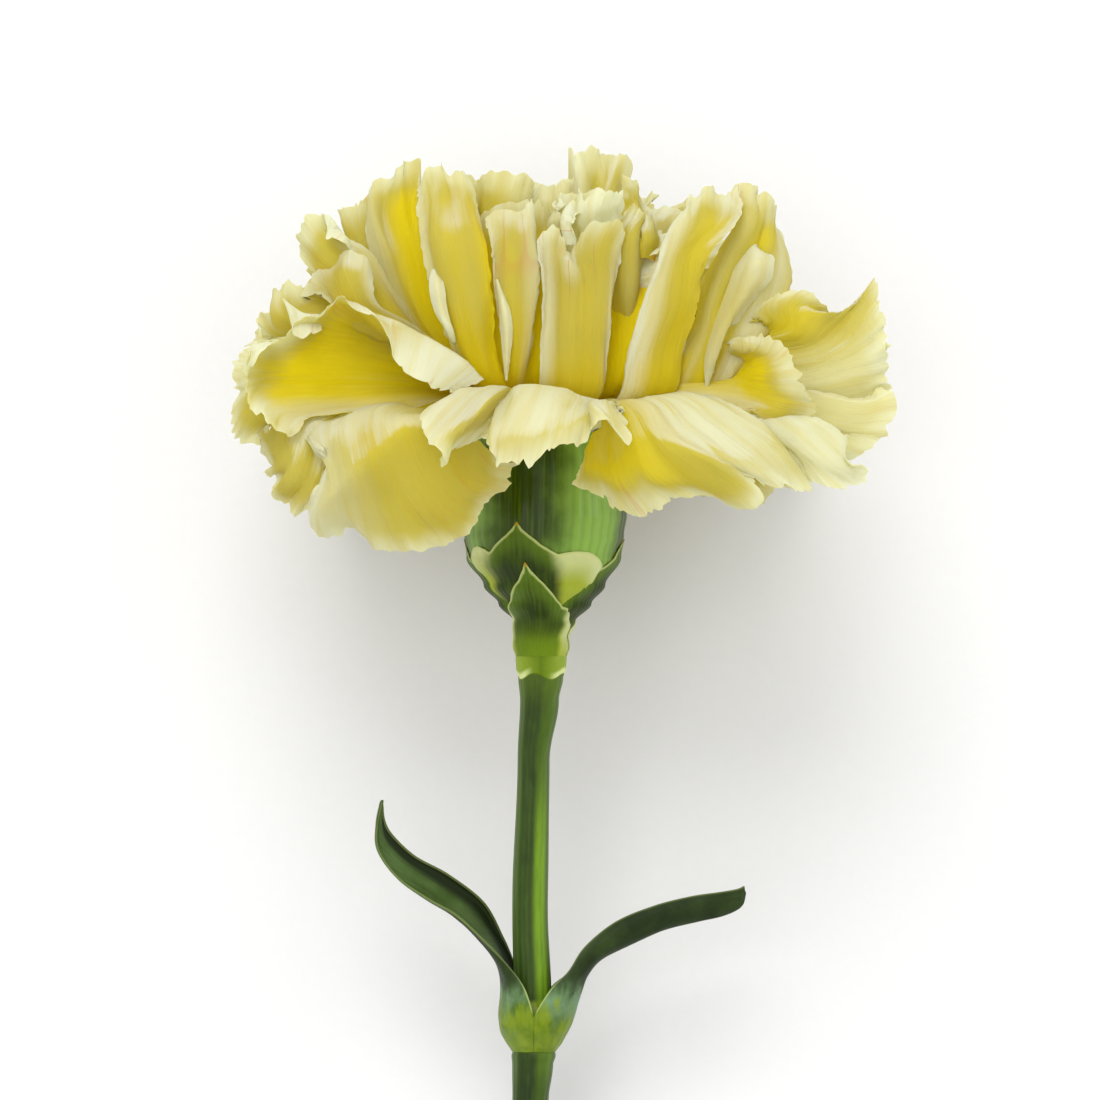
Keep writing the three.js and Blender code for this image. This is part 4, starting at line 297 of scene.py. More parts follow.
# Rims that fold over: each a small sheet from its fold to its free edge. Where it is lengthwise, its veins
# run along the rim.
FLAPS = {
    "flap_centre": dict(gold=-1, ruffle=0.2, streak=0, lengthwise=1, rows=[
        [(-10.6, 39.4, 13.6), (-10.9, 37.2, 14.6), (-10.4, 34.7, 14.8), (-9.2, 32.6, 14.6),
         (-8.4, 31, 12.4)],
        [(-10.4, 39.6, 13.8), (-10.2, 37.2, 15.5), (-9.8, 34.8, 15.5), (-9, 32.6, 14.9), (-8.3, 31, 12.4)],
        [(-10.2, 39.4, 13.6), (-9.4, 37.2, 15.1), (-9.2, 34.8, 15.1), (-8.8, 32.6, 14.6),
         (-8.2, 31, 12.4)]]),
    "flap_narrow": dict(gold=-1, ruffle=0.1, streak=0, lengthwise=1, rows=[
        [(-4.4, 37.7, 14.4), (-4, 35.2, 14.7), (-3.8, 32.2, 14.8), (-3.4, 27.8, 14.5)],
        [(-4.2, 37.8, 14.9), (-3.6, 35.2, 15.5), (-3.3, 32.4, 15.5), (-3.3, 27.8, 14.9)],
        [(-3.9, 37.5, 14.6), (-3.2, 35.2, 15), (-2.8, 32.4, 15), (-3.1, 27.8, 14.6)]]),
    "flap_ear": dict(gold=-1, rows=[
        [(-22, 44.3, 6.4), (-20.7, 43.7, 7.4), (-19.6, 42.4, 8), (-19, 40.7, 8)],
        [(-21.7, 42.7, 9), (-21.2, 41.4, 10.2), (-20.1, 41.2, 10.8), (-18.9, 40.3, 10.2)]]),
    "flap_side_upper": dict(gold=-1, rows=[
        [(-25.6, 36.1, 8.4), (-24.7, 35.3, 10), (-23.5, 34.5, 11), (-21.8, 34.4, 11)],
        [(-25, 34.2, 11.6), (-24.4, 32.4, 13.4), (-23.2, 32.1, 13.4), (-22, 33.3, 12.8)]]),
    "flap_side_lower": dict(gold=-1, rows=[
        [(-29, 28, 14.2), (-28.9, 30, 13.8), (-28.2, 31.5, 13.2), (-26.2, 31.8, 12.4)],
        [(-28.4, 28.4, 17.2), (-27.5, 29.1, 17.9), (-26.7, 29.9, 17.9), (-25.9, 30.9, 16.5)]]),
    "flap_tip_left": dict(gold=-0.6, streak=1, rows=[
        [(0.8, 42.4, 11.4), (1.6, 42.8, 12), (2.6, 42.6, 11.6)],
        [(0.4, 44.4, 11.8), (1.6, 45.1, 13), (2.8, 44.4, 12.2)],
        [(0.1, 45.5, 11.2), (0.9, 46.2, 11.8), (1.7, 45.7, 12.2), (2.5, 46.3, 11.8), (3.2, 45.4, 11.2)]]),
    "flap_tip_middle": dict(gold=-0.9, streak=1, rows=[
        [(2.8, 42.4, 10.6), (5.2, 42, 11.2), (7.6, 42.6, 10.6)],
        [(2.5, 44.6, 11.4), (5, 44.4, 12.4), (7.9, 45, 11.2)],
        [(2.3, 46, 10.8), (3.4, 46.7, 11.4), (4.6, 45.9, 12), (6, 46.7, 11.6), (7.2, 46.1, 11.2),
         (8.2, 46.8, 10.4)]]),
    "flap_tip_right": dict(gold=0.5, streak=1, rows=[
        [(9.4, 39.6, 12.4), (10.4, 40, 13), (11.4, 39.6, 12)],
        [(9, 41.8, 12.6), (10.2, 42.2, 13.8), (11.6, 41.6, 12.4)],
        [(8.6, 43.6, 11.8), (9.3, 44.4, 12.4), (10.1, 43.6, 13), (11, 44.4, 12.4), (11.9, 43.5, 11.4)]]),
    "flap_band": dict(gold=(-0.9, -0.3, -0.6), ruffle=0.8, streak=0, lengthwise=1, rows=[
        [(21.2, 42.2, 9.4), (19.7, 39.8, 11.2), (18.5, 36.6, 12.2), (17.2, 33, 12.8), (16.4, 29.8, 13.1),
         (16.4, 27.2, 12.6)],
        [(21.6, 42.5, 9.6), (21.2, 39.8, 12), (20.2, 36.6, 13), (18.7, 33, 13.6), (17.4, 29.8, 13.9),
         (16.6, 27.1, 12.8)],
        [(22, 42.2, 9.2), (22.6, 39.6, 10.6), (21.2, 36.4, 11.4), (19.6, 32.8, 12.2), (18, 29.8, 12.9),
         (16.8, 27.2, 12.6)]]),
    "flap_far": dict(gold=-1, rows=[
        [(32.4, 32.2, 11.4), (32.8, 31, 12), (33.6, 30, 11.4)],
        [(34.1, 32.5, 11.6), (34.5, 31.3, 12.4), (34.5, 30, 11.2)]]),
    "flap_curl": dict(gold=-1, streak=1, rows=[
        [(3.3, 45.8, 11.4), (2.4, 44.7, 12), (2.1, 43.2, 12.6), (2.5, 41.2, 13)],
        [(3.9, 45.1, 12.6), (2.9, 44.1, 13.8), (2.7, 42.9, 14.2), (3, 41.3, 13.8)]]),
    "flap_crumple": dict(gold=-1, streak=1, rows=[
        [(9.8, 43.8, 10.6), (11, 42.2, 11.4), (12.9, 42.6, 9.4)],
        [(10.2, 40.8, 13), (11.5, 40.4, 13), (12.9, 41.3, 11.2)]]),
    "flap_deep": dict(gold=-1, rows=[
        [(9.1, 39.8, 10.6), (9.3, 38, 11.4), (10, 36.1, 11.4)],
        [(10.8, 40.3, 12.8), (11.1, 38.8, 13.4), (10.6, 36.9, 12.6)]]),
    "flap_low": dict(gold=-1, rows=[
        [(23.6, 23.4, 17.2), (25.4, 21.4, 18.8), (27.5, 19.6, 19.4)],
        [(25.2, 23.8, 15.6), (27.6, 22.4, 17), (29.2, 20.4, 17.6)]]),
}

WHORLS = {
    "petals_skirt": [
        "skirt_left", "lobe_left", "lobe_middle", "lobe_small", "skirt_right", "low_right", "out_right",
        "low_left", "out_left",
    ],
    "petals_side": ["up_right", "cup_right", "hollow_left", "edge_left", "curl_left", "ear_left"],
    "petals_tall": ["sail_left", "sail_far_left", "sail_right", "sail_far_right"],
    "petals_centre": ["centre_front", "centre_narrow", "centre_left", "deep_right", "deep_middle"],
    "petals_crown": [
        "crown_front", "crown_crumple", "crown_left", "crown_mid_left", "crown_mid", "crown_right",
        "crown_top",
    ],
}

# The petals of the side that lies on the floor and the hidden ones of the middle, in rings: the azimuth of
# each, how steeply they rise, how far they reach, and how far from the axis they spring.
RINGS = [
    ([198, 228, 258, 288, 318, 342], -11, 28, 5.6),
    ([192, 226, 260, 294, 328], 10, 30, 5.4),
    ([200, 235, 270, 305, 340], 32, 28, 5),
    ([203, 234, 268, 304, 338], 52, 26, 4.4),
    ([200, 250, 300], 68, 22.5, 3.2),
    ([45, 170, 310], 78, 19.5, 1.6),
]
RIM_POINTS = 7  # that set out a ring petal's rim
PETAL_HALF_WIDTH = 11.5
WIDEST_HALF_FAN = 52  # degrees
RIM_ROUNDING = 0.14  # how much shorter a petal is at its sides, as a share of its reach
RIM_TOOTH = 0.55
WAVE = 2.2  # the height of a rim's waves
FEWEST_WAVES = 1.1
MOST_WAVES = 1.9
RISE_SPREAD = 10  # degrees
ROOT_WIDTH = 32  # degrees
MID_REACH = 0.52  # the middle row, as a share of the rim's reach and fan
MID_FAN = 0.9
ARCH = 0.1  # how far the middle row is raised, as a share of the reach
FLOOR_Z = 0.12
FLOOR_BEND = 0.7  # a petal bends level over so many mm above FLOOR_Z
FLOOR_REACH = 0.16  # how much further the petals on the floor reach

# What a ring petal has of its own: the second number of each draw.
OWN_RISE = 1.3
OWN_WAVES = 2.9
OWN_PHASE = 4.1


# ---------- Small tools ----------
TINY = 1e-9
SHARP_FROM = 50  # degrees between faces that are shaded apart


def lay(points):
    """Upright (x, h, d) in mm to the laid flower's (x, y, z), in mm."""
    x, h, d = np.moveaxis(np.asarray(points, float), -1, 0)
    y = h * math.cos(TILT) - d * math.sin(TILT)
    z = h * math.sin(TILT) + d * math.cos(TILT) + RISE
    return np.stack([x, y, z], -1)


# Where the light comes from. Petals are painted paler on the faces that look that way: painted light.
LIGHT_FROM = lay((-0.1, 0.95, 0.3)) - lay((0, 0, 0))


def smooth(x, low, high):
    """0 at low to 1 at high, and level beyond them; low may be the greater."""
    t = np.clip((np.asarray(x, float) - low) / (high - low), 0, 1)
    return t * t * (3 - 2 * t)


def lerp(a, b, t):
    return a + (b - a) * t


def unit(vectors):
    return vectors / np.maximum(np.linalg.norm(vectors, axis=-1, keepdims=True), TINY)


def spline(points, s):
    """A Catmull-Rom curve through points that are evenly spaced over s from 0 to 1."""
    points = np.asarray(points, float)
    spans = len(points) - 1
    k = np.clip(np.floor(s * spans).astype(int), 0, spans - 1)
    t = (s * spans - k)[..., None]
    near = [points[np.clip(k + i, 0, spans)] for i in (-1, 0, 1, 2)]
    weights = [
        (-t + 2 * t**2 - t**3) / 2,
        (2 - 5 * t**2 + 3 * t**3) / 2,
        (t + 4 * t**2 - 3 * t**3) / 2,
        (-(t**2) + t**3) / 2,
    ]
    return sum(w * p for w, p in zip(weights, near))


def profile(table, h):
    """Values given at heights and joined by smooth steps, an array for each value that follows the height."""
    table = np.asarray(table, float)
    h = np.clip(h, table[0, 0], table[-1, 0])
    k = np.clip(np.searchsorted(table[:, 0], h, "right") - 1, 0, len(table) - 2)
    t = smooth((h - table[k, 0]) / (table[k + 1, 0] - table[k, 0]), 0, 1)[..., None]
    return np.moveaxis(lerp(table[k, 1:], table[k + 1, 1:], t), -1, 0)


def chance(a, b):
    """A steady pseudo-random number from 0 to 1 for a pair of numbers."""
    x = math.sin(a * 12.9898 + b * 78.233) * 43758.5453
    return x - math.floor(x)


def noise(x, y, seed):
    """Smooth noise from -1 to 1, with one swing about every two units."""
    x, y = np.broadcast_arrays(np.asarray(x, float), np.asarray(y, float))
    cell_x, cell_y = np.floor(x), np.floor(y)
    fade_x, fade_y = smooth(x - cell_x, 0, 1), smooth(y - cell_y, 0, 1)

    def corner(i, j):
        value = np.sin((cell_x + i) * 127.1 + (cell_y + j) * 311.7 + seed * 74.7) * 43758.5453
        return 2 * (value - np.floor(value)) - 1

    below = lerp(corner(0, 0), corner(1, 0), fade_x)
    return lerp(below, lerp(corner(0, 1), corner(1, 1), fade_x), fade_y)


def ribs(phase):
    """Even ribs, from 0 in the furrows to 1 on the ribs."""
    return 0.5 + 0.5 * np.cos(phase)


def normals_of(grid):
    """Unit normals of a grid of points, across x along."""
    return unit(np.cross(np.gradient(grid, axis=0), np.gradient(grid, axis=1)))


def run_of(grid, axis):
    """Millimetres along a grid of points from its first row or column."""
    steps = np.linalg.norm(np.diff(grid, axis=axis), axis=-1)
    return np.insert(np.cumsum(steps, axis=axis), 0, 0, axis=axis)


def circle(count):
    return np.linspace(0, 2 * math.pi, count, endpoint=False)


def ring_points(x, h, radius, angles):
    """Upright points round a line at x, at angles from the right away from the viewer."""
    x, h, radius, angles = np.broadcast_arrays(x, h, radius, angles)
    return np.stack([x + radius * np.cos(angles), h, -radius * np.sin(angles)], -1)


def sheet_part(grid, thickness, attributes, uv):
    """A closed thin sheet round a grid of laid points. thickness and attributes are grids too. Two attributes
    are added: sky, 1 where a face looks at the light, by which the petals are painted light, and inner,
    1 on the sheet's second face."""
    across, along = grid.shape[:2]
    normal = normals_of(grid)
    half = thickness[..., None] / 2
    size = across * along
    number = np.arange(size).reshape(across, along)
    a, b, c, d = number[:-1, :-1], number[1:, :-1], number[1:, 1:], number[:-1, 1:]
    top = np.stack([a, b, c, d], -1).reshape(-1, 4)
    bottom = np.stack([a, d, c, b], -1).reshape(-1, 4) + size
    ring = np.concatenate([number[:-1, 0], number[-1, :-1], number[:0:-1, -1], number[0, :0:-1]])
    following = np.roll(ring, -1)
    wall = np.stack([ring, ring + size, following + size, following], -1)
    points = np.concatenate([(grid + normal * half).reshape(-1, 3), (grid - normal * half).reshape(-1, 3)])
    flat = {}
    for key, value in attributes.items():
        flat[key] = np.tile(np.broadcast_to(value, (across, along)).ravel(), 2)
    facing = (normal @ LIGHT_FROM).ravel()
    flat["sky"] = np.concatenate([facing, -facing])
    flat["inner"] = np.repeat([0.0, 1.0], size)
    return points, np.concatenate([top, bottom, wall]).tolist(), flat, np.tile(uv.reshape(-1, 2), (2, 1))


def tube_part(rings, attributes, uv):
    """A closed tube skinned over rings of laid points, along x round, with a fan at each end."""
    along, round_ = rings.shape[:2]
    number = np.arange(along * round_).reshape(along, round_)
    after = np.roll(number, -1, axis=1)
    faces = np.stack([number[:-1], after[:-1], after[1:], number[1:]], -1).reshape(-1, 4).tolist()
    points = rings.reshape(-1, 3)
    flat = {key: np.broadcast_to(value, (along, round_)).ravel() for key, value in attributes.items()}
    uv = uv.reshape(-1, 2)
    for ones, twos in ((after[0], number[0]), (number[-1], after[-1])):
        middle = len(points)
        points = np.vstack([points, points[ones].mean(0)])
        uv = np.vstack([uv, uv[min(ones)]])
        flat = {key: np.append(value, value[min(ones)]) for key, value in flat.items()}
        faces += [[middle, int(one), int(two)] for one, two in zip(ones, twos)]
    return points, faces, flat, uv


def add_object(name, data):
    """A new object in the scene."""
    added = bpy.data.objects.new(name, data)
    bpy.context.scene.collection.objects.link(added)
    return added


def object_of(name, parts, material):
    """One object from parts, each (laid points in mm, faces, attributes, uv): shaded smooth and riding."""
    grids, face_lists, attributes, uvs = zip(*parts)
    points = (np.concatenate(grids) + SHIFT) * MM
    starts = np.cumsum([0] + [len(grid) for grid in grids]).tolist()
    faces = [[i + start for i in face] for start, some in zip(starts, face_lists) for face in some]
    mesh = bpy.data.meshes.new(name)
    mesh.from_pydata(points.tolist(), [], faces)
    mesh.update()
    for key in sorted(attributes[0]):
        values = np.concatenate([flat[key] for flat in attributes])
        layer = mesh.attributes.new(key, "FLOAT", "POINT")
        layer.data.foreach_set("value", values.astype(np.float32))
    loops = np.empty(len(mesh.loops), np.int32)
    mesh.loops.foreach_get("vertex_index", loops)
    layer = mesh.uv_layers.new(name="UVMap")
    layer.data.foreach_set("uv", np.concatenate(uvs)[loops].astype(np.float32).ravel())
    mesh.polygons.foreach_set("use_smooth", [True] * len(mesh.polygons))
    mesh.set_sharp_from_angle(angle=math.radians(SHARP_FROM))
    mesh.materials.append(material)
    piece = add_object(name, mesh)
    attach(piece, "root")
    return piece


# ---------- Materials ----------
def rgb(r, g, b):
    """A colour from its sRGB values, 0 to 255."""
    def linear(value):
        value /= 255
        return value / 12.92 if value <= 0.04045 else ((value + 0.055) / 1.055) ** 2.4

    return linear(r), linear(g), linear(b), 1.0


class Look:
    """A procedural material, put together in a few words."""

    def __init__(self, name):
        self.material = bpy.data.materials.new(name)
        self.material.use_nodes = True
        self.tree = self.material.node_tree
        self.tree.nodes.clear()
        coordinates = self.add("ShaderNodeTexCoord").outputs
        self.uv = coordinates["UV"]
        self.place = coordinates["Object"]

    def put(self, value, socket):
        if isinstance(value, bpy.types.NodeSocket):
            self.tree.links.new(value, socket)
        elif value is not None:
            socket.default_value = value

    def add(self, kind, inputs=None, **settings):
        node = self.tree.nodes.new(kind)
        for key, value in settings.items():
            setattr(node, key, value)
        for key, value in (inputs or {}).items():
            self.put(value, node.inputs[key])
        return node

    def attributes(self, *names):
        return [self.add("ShaderNodeAttribute", attribute_name=name).outputs["Fac"] for name in names]

    def math(self, operation, a, b=None):
        return self.add("ShaderNodeMath", {0: a, 1: b}, operation=operation).outputs[0]

    def plus(self, a, b):
        return self.math("ADD", a, b)

    def times(self, a, b):
        return self.math("MULTIPLY", a, b)

    def both(self, a, share_a, b, share_b):
        return self.plus(self.times(a, share_a), self.times(b, share_b))

    def swing(self, value, width=1.0):
        """A value from 0 to 1 as a swing of width about nothing."""
        return self.times(self.math("SUBTRACT", value, 0.5), width)

    def span(self, value, low, high, to_low=0.0, to_high=1.0):
        """value from low..high taken smoothly to to_low..to_high."""
        inputs = {"Value": value, "From Min": low, "From Max": high, "To Min": to_low, "To Max": to_high}
        return self.add("ShaderNodeMapRange", inputs, interpolation_type="SMOOTHSTEP").outputs[0]

    def mix(self, share, a, b):
        return self.add("ShaderNodeMix", {0: share, 6: a, 7: b}, data_type="RGBA").outputs[2]

    def tint(self, a, b, value, low, high, most=1.0):
        """Colour a, which turns to b, at most by a share of most, as value goes from low to high."""
        return self.mix(self.span(value, low, high, 0.0, most), a, b)

    def noise(self, vector, scale, detail=2.0, roughness=0.5):
        """Noise from 0 to 1. Three scales, one for each direction, stretch it."""
        if isinstance(scale, tuple):
            vector = self.add("ShaderNodeMapping", {"Vector": vector, "Scale": scale}).outputs[0]
            scale = 1.0
        inputs = {"Vector": vector, "Scale": scale, "Detail": detail, "Roughness": roughness}
        return self.add("ShaderNodeTexNoise", inputs).outputs["Fac"]

    def bump(self, height, distance, strength):
        inputs = {"Height": height, "Distance": distance, "Strength": strength}
        return self.add("ShaderNodeBump", inputs).outputs[0]

    def shade(self, colour, roughness, normal, specular, sheen=0.0, through=None, share=0.0):
        """Ends the material: a Principled shader, and a share of light that passes through in a colour."""
        inputs = {
            "Base Color": colour,
            "Roughness": roughness,
            "Specular IOR Level": specular,
            "Sheen Weight": sheen,
            "Normal": normal,
        }
        shader = self.add("ShaderNodeBsdfPrincipled", inputs).outputs[0]
        if share:
            glow = self.add("ShaderNodeBsdfTranslucent", {"Color": through, "Normal": normal}).outputs[0]
            shader = self.add("ShaderNodeMixShader", {0: share, 1: shader, 2: glow}).outputs[0]
        self.add("ShaderNodeOutputMaterial", {"Surface": shader})
        return self.material


def petal_material():
    """along: 0 at the root, 1 at the rim. edge: mm from the rim. sky: 1 where a face looks at the light,
    which is painted on it as paler colour. gold: painted light, 1 for a deep yellow glow of light bounced
    in the hollows, -1 for pale faces that catch the light. streak: how much of the pink streaks shows. UV: mm
    across the veins, and a twentieth of the mm along them."""
    look = Look("petal")
    along, edge, sky, gold, streak = look.attributes("along", "edge", "sky", "gold", "streak")
    veins = look.noise(look.uv, (2.2, 1.6, 1.0), 3.0, 0.6)
    fine = look.noise(look.uv, (6.5, 3.0, 1.0))
    blotch = look.noise(look.place, 170.0)
    uneven = look.plus(look.swing(veins), look.swing(blotch))
    depth = look.plus(along, look.times(uneven, 0.45))
    colour = look.tint(rgb(228, 208, 0), rgb(213, 202, 100), depth, 0.2, 0.75)

    # Painted glow: where it is asked for, a deep yellow away from the rims stands in for light bounced
    # between the petals in the hollows.
    inside = look.span(look.plus(edge, look.times(uneven, 5.0)), 1.5, 5.0)
    hollow_glow = look.times(look.math("MAXIMUM", gold, 0.0), inside)
    colour = look.mix(hollow_glow, colour, rgb(240, 224, 0))

    # Painted light: pale cream on the faces that look at the light and on the parts given as lit, though not
    # over the painted glow of the hollows.
    lit = look.span(look.plus(sky, look.times(uneven, 0.4)), 0.58, 0.92, 0.0, 0.9)
    lit = look.times(lit, look.span(along, 0.1, 0.45))
    lit_pale = look.times(look.times(gold, -1.0), look.span(depth, 0.15, 0.5))
    painted_lit = look.times(look.math("MAXIMUM", lit, lit_pale), look.math("SUBTRACT", 1.0, hollow_glow))
    colour = look.mix(painted_lit, colour, rgb(240, 242, 230))

    # Paler towards the rim: the petal's own paler margin, with painted highlight where light catches the
    # rims.
    from_rim = look.plus(edge, look.times(blotch, 5.0))
    colour = look.tint(colour, rgb(240, 242, 226), from_rim, 5.4, 2.2, 0.76)
    broad = look.noise(look.uv, (0.7, 1.1, 1.0))
    colour = look.tint(colour, rgb(220, 202, 50), broad, 0.42, 0.68, 0.25)
    colour = look.tint(colour, rgb(206, 192, 60), veins, 0.5, 0.75, 0.08)

    off_line = look.math("ABSOLUTE", look.swing(look.noise(look.uv, (0.55, 0.5, 1.0), 0.0)))
    patch = look.span(look.noise(look.place, 110.0, 0.0), 0.5, 0.62)
    pink = look.times(look.span(off_line, 0.012, 0.004), patch)
    pink = look.times(pink, look.times(streak, look.span(edge, 8.0, 4.0)))
    colour = look.mix(look.times(pink, 0.75), colour, rgb(222, 124, 96))

    normal = look.bump(look.both(veins, 0.7, fine, 0.3), 0.0002, 0.7)
    through = look.mix(0.22, colour, rgb(240, 236, 0))
    return look.shade(colour, 0.6, normal, 0.15, 0.04, through, 0.6)


def calyx_material():
    """h: mm up the flower. rib: 0 to 1 over each rib. band: 1 along the broad bands that are
    painted paler as sheen; between them the calyx is painted darker as shade.
    """
    look = Look("calyx")
    h, rib, band = look.attributes("h", "rib", "band")
    cloud = look.noise(look.place, 260.0, 3.0)
    streaks = look.noise(look.uv, (2.4, 0.08, 1.0), 3.0, 0.7)
    # Painted light: paler along the bands, as sheen, and dark between them, as shade, with cloudy patches.
    broad = look.plus(band, look.swing(cloud, 0.9))
    colour = look.tint(rgb(40, 58, 0), rgb(128, 165, 68), broad, 0.0, 1.0)
    colour = look.tint(colour, rgb(112, 144, 24), streaks, 0.42, 0.7, 0.22)
    colour = look.tint(colour, rgb(44, 62, 0), rib, 0.6, 0.1, 0.14)
    colour = look.tint(colour, rgb(150, 162, 50), h, 9.0, 5.0, 0.5)
    speck = look.noise(look.place, 2600.0)
    normal = look.bump(look.both(rib, 0.5, speck, 0.3), 0.00004, 0.6)
    return look.shade(colour, look.span(cloud, 0.3, 0.7, 0.28, 0.42), normal, 0.2)


def bract_material():
    """edge: mm from the margin. tip: 0 to 1 at the point. rib: 0 to 1 over each vein. low: 1 at the foot.
    wing: 1 in the thin pale sides."""
    look = Look("bract")
    edge, tip, rib, low, wing = look.attributes("edge", "tip", "rib", "low", "wing")
    cloud = look.noise(look.place, 420.0, 3.0)
    streaks = look.noise(look.uv, (2.0, 0.15, 1.0), 3.0, 0.7)
    colour = look.tint(rgb(78, 104, 16), rgb(32, 47, 2), edge, 0.3, 2.2)
    colour = look.tint(colour, rgb(90, 112, 0), streaks, 0.42, 0.7, 0.25)
    colour = look.tint(colour, rgb(38, 52, 14), rib, 0.7, 0.1, 0.15)
    colour = look.tint(colour, rgb(106, 134, 6), low, 0.0, 1.0, 0.8)
    colour = look.tint(colour, rgb(80, 102, 20), cloud, 0.4, 0.7, 0.25)
    film = look.tint(rgb(190, 196, 138), rgb(148, 160, 44), edge, 0.0, 3.2)
    colour = look.tint(colour, film, look.plus(wing, look.swing(cloud, 0.5)), 0.1, 0.9)
    colour = look.tint(colour, rgb(178, 188, 116), edge, 0.32, 0.12, 0.75)
    colour = look.tint(colour, rgb(150, 124, 26), tip, 0.7, 1.0)
    normal = look.bump(look.both(rib, 1.0, cloud, 0.4), 0.00003, 0.6)
    return look.shade(colour, 0.42, normal, 0.13)


def stem_material():
    """h: mm up the flower. ridge: 0 to 1 over each fine ridge. stripe: 1 along a painted highlight down
    the stem. collar: mm above the edge where the calyx's foot begins. side: 0 at the viewer's side to 1 at
    the outlines, towards which the stem is painted paler as light on its sides."""
    look = Look("stem")
    h, ridge, stripe, collar, side = look.attributes("h", "ridge", "stripe", "collar", "side")
    streaks = look.noise(look.place, (1900.0, 60.0, 1900.0), 3.0, 0.6)
    cloud = look.noise(look.place, 130.0, 3.0)
    colour = look.tint(rgb(34, 51, 12), rgb(48, 68, 18), cloud, 0.35, 0.65)
    colour = look.tint(colour, rgb(84, 108, 38), streaks, 0.45, 0.8, 0.25)
    # Painted light: paler towards the outlines, where light catches the stem's sides.
    colour = look.tint(colour, rgb(96, 120, 58), side, 0.55, 0.95, 0.55)
    colour = look.tint(colour, rgb(34, 48, 18), ridge, 0.9, 0.2, 0.2)
    # Painted highlight: a paler stripe down the stem.
    colour = look.mix(look.times(stripe, look.span(streaks, 0.2, 0.6, 0.7, 1.0)), colour, rgb(104, 138, 30))
    from_joint = look.math("ABSOLUTE", look.plus(h, -JOINT_H))
    colour = look.tint(colour, rgb(110, 130, 12), from_joint, 2.8, 2.2, 0.9)
    colour = look.tint(colour, rgb(26, 40, 14), h, -40.0, -43.5, 0.45)
    colour = look.tint(colour, rgb(96, 120, 30), h, -6.0, -1.5, 0.35)
    # The calyx's foot on the stalk and its pale margin are painted paler towards the outlines too, like the
    # stem's sides.
    foot = look.mix(side, rgb(88, 112, 0), rgb(138, 160, 46))
    colour = look.tint(colour, foot, collar, -0.15, 0.05)
    margin = look.times(look.span(collar, -0.1, 0.05), look.span(collar, 0.75, 0.3))
    colour = look.mix(look.times(margin, look.span(side, 0.3, 0.8)), colour, rgb(200, 210, 140))
    normal = look.bump(look.both(ridge, 0.6, streaks, 0.5), 0.00005, 0.6)
    return look.shade(colour, look.span(cloud, 0.3, 0.7, 0.34, 0.46), normal, 0.14)


def leaf_material():
    """edge: mm from the margin. sheath: 1 round the joint. inner: 1 on the face towards the stem. near: 1 at
    the margin towards the viewer, 0 at the other; the inner face is painted lit towards it and shaded away
    from
    it. UV: in mm."""
    look = Look("leaf")
    edge, sheath, inner, near = look.attributes("edge", "sheath", "inner", "near")
    veins = look.noise(look.uv, (4.2, 0.12, 1.0), 3.0, 0.6)
    wax = look.noise(look.place, 210.0, 4.0, 0.6)
    torn = look.noise(look.place, (1200.0, 240.0, 1200.0))
    outside = look.tint(rgb(26, 38, 10), rgb(46, 62, 24), wax, 0.35, 0.75)
    # Painted light and shade on the inner face: lit towards the near margin, dark as shade towards the far
    # one.
    lit = look.tint(rgb(58, 78, 34), rgb(76, 98, 52), wax, 0.3, 0.7)
    inside = look.tint(rgb(22, 32, 6), lit, near, 0.3, 0.5)
    colour = look.mix(inner, outside, inside)
    colour = look.tint(colour, rgb(30, 42, 18), veins, 0.42, 0.7, 0.3)

    ragged = look.plus(sheath, look.times(look.swing(torn), look.span(sheath, 0.0, 0.3, 0.0, 0.7)))
    # The sheath's bluish wax bloom, with a painted highlight in its palest parts.
    wax_and_sheen = look.tint(rgb(66, 94, 26), rgb(106, 136, 100), wax, 0.35, 0.65)
    colour = look.tint(colour, wax_and_sheen, ragged, 0.02, 0.4, 0.85)
    mottle = look.both(wax, 0.5, torn, 0.5)
    by_margin = look.times(look.span(edge, 2.6, 0.4), look.span(ragged, 0.3, 0.6, 0.0, 0.3))
    yellow = look.plus(look.plus(ragged, look.swing(mottle, 1.2)), by_margin)
    yellowed = look.tint(rgb(88, 110, 4), rgb(122, 140, 20), mottle, 0.3, 0.7)
    colour = look.tint(colour, yellowed, yellow, 0.5, 1.05, 0.85)

    rim = look.times(look.span(edge, 0.2, 0.06), look.span(sheath, 0.02, 0.3, 0.25, 0.8))
    colour = look.mix(look.times(rim, look.span(sheath, 0.72, 0.6)), colour, rgb(150, 166, 96))
    normal = look.bump(veins, 0.00008, 0.7)
    return look.shade(colour, look.span(wax, 0.3, 0.7, 0.5, 0.38), normal, 0.12)


def floor_material():
    look = Look("floor")
    grain = look.noise(look.place, 900.0, 4.0, 0.6)
    colour = look.mix(grain, rgb(214, 214, 214), rgb(218, 218, 218))
    return look.shade(colour, 0.9, look.bump(grain, 0.00004, 0.3), 0.1)


PETAL_LOOK = petal_material()
CALYX_LOOK = calyx_material()
BRACT_LOOK = bract_material()
STEM_LOOK = stem_material()
LEAF_LOOK = leaf_material()

# ---------- Bloom ----------
COLUMN_MM = 0.36  # from rib to rib of a sheet, along its rim
RING_COLUMN_MM = 0.55
FEWEST_COLUMNS = 24
MOST_COLUMNS = 190
RIM_STEPS = 400  # how finely a rim is measured
ROWS = 46
RING_ROWS = 28
FLAP_ROWS = 14
ROW_CROWDING = 1.35  # above 1, the rows stand closer towards the rim
PETAL_MM = 0.26
RIM_MM = 0.06
THIN_MM = 3  # the sheet thins over so many mm towards its margins

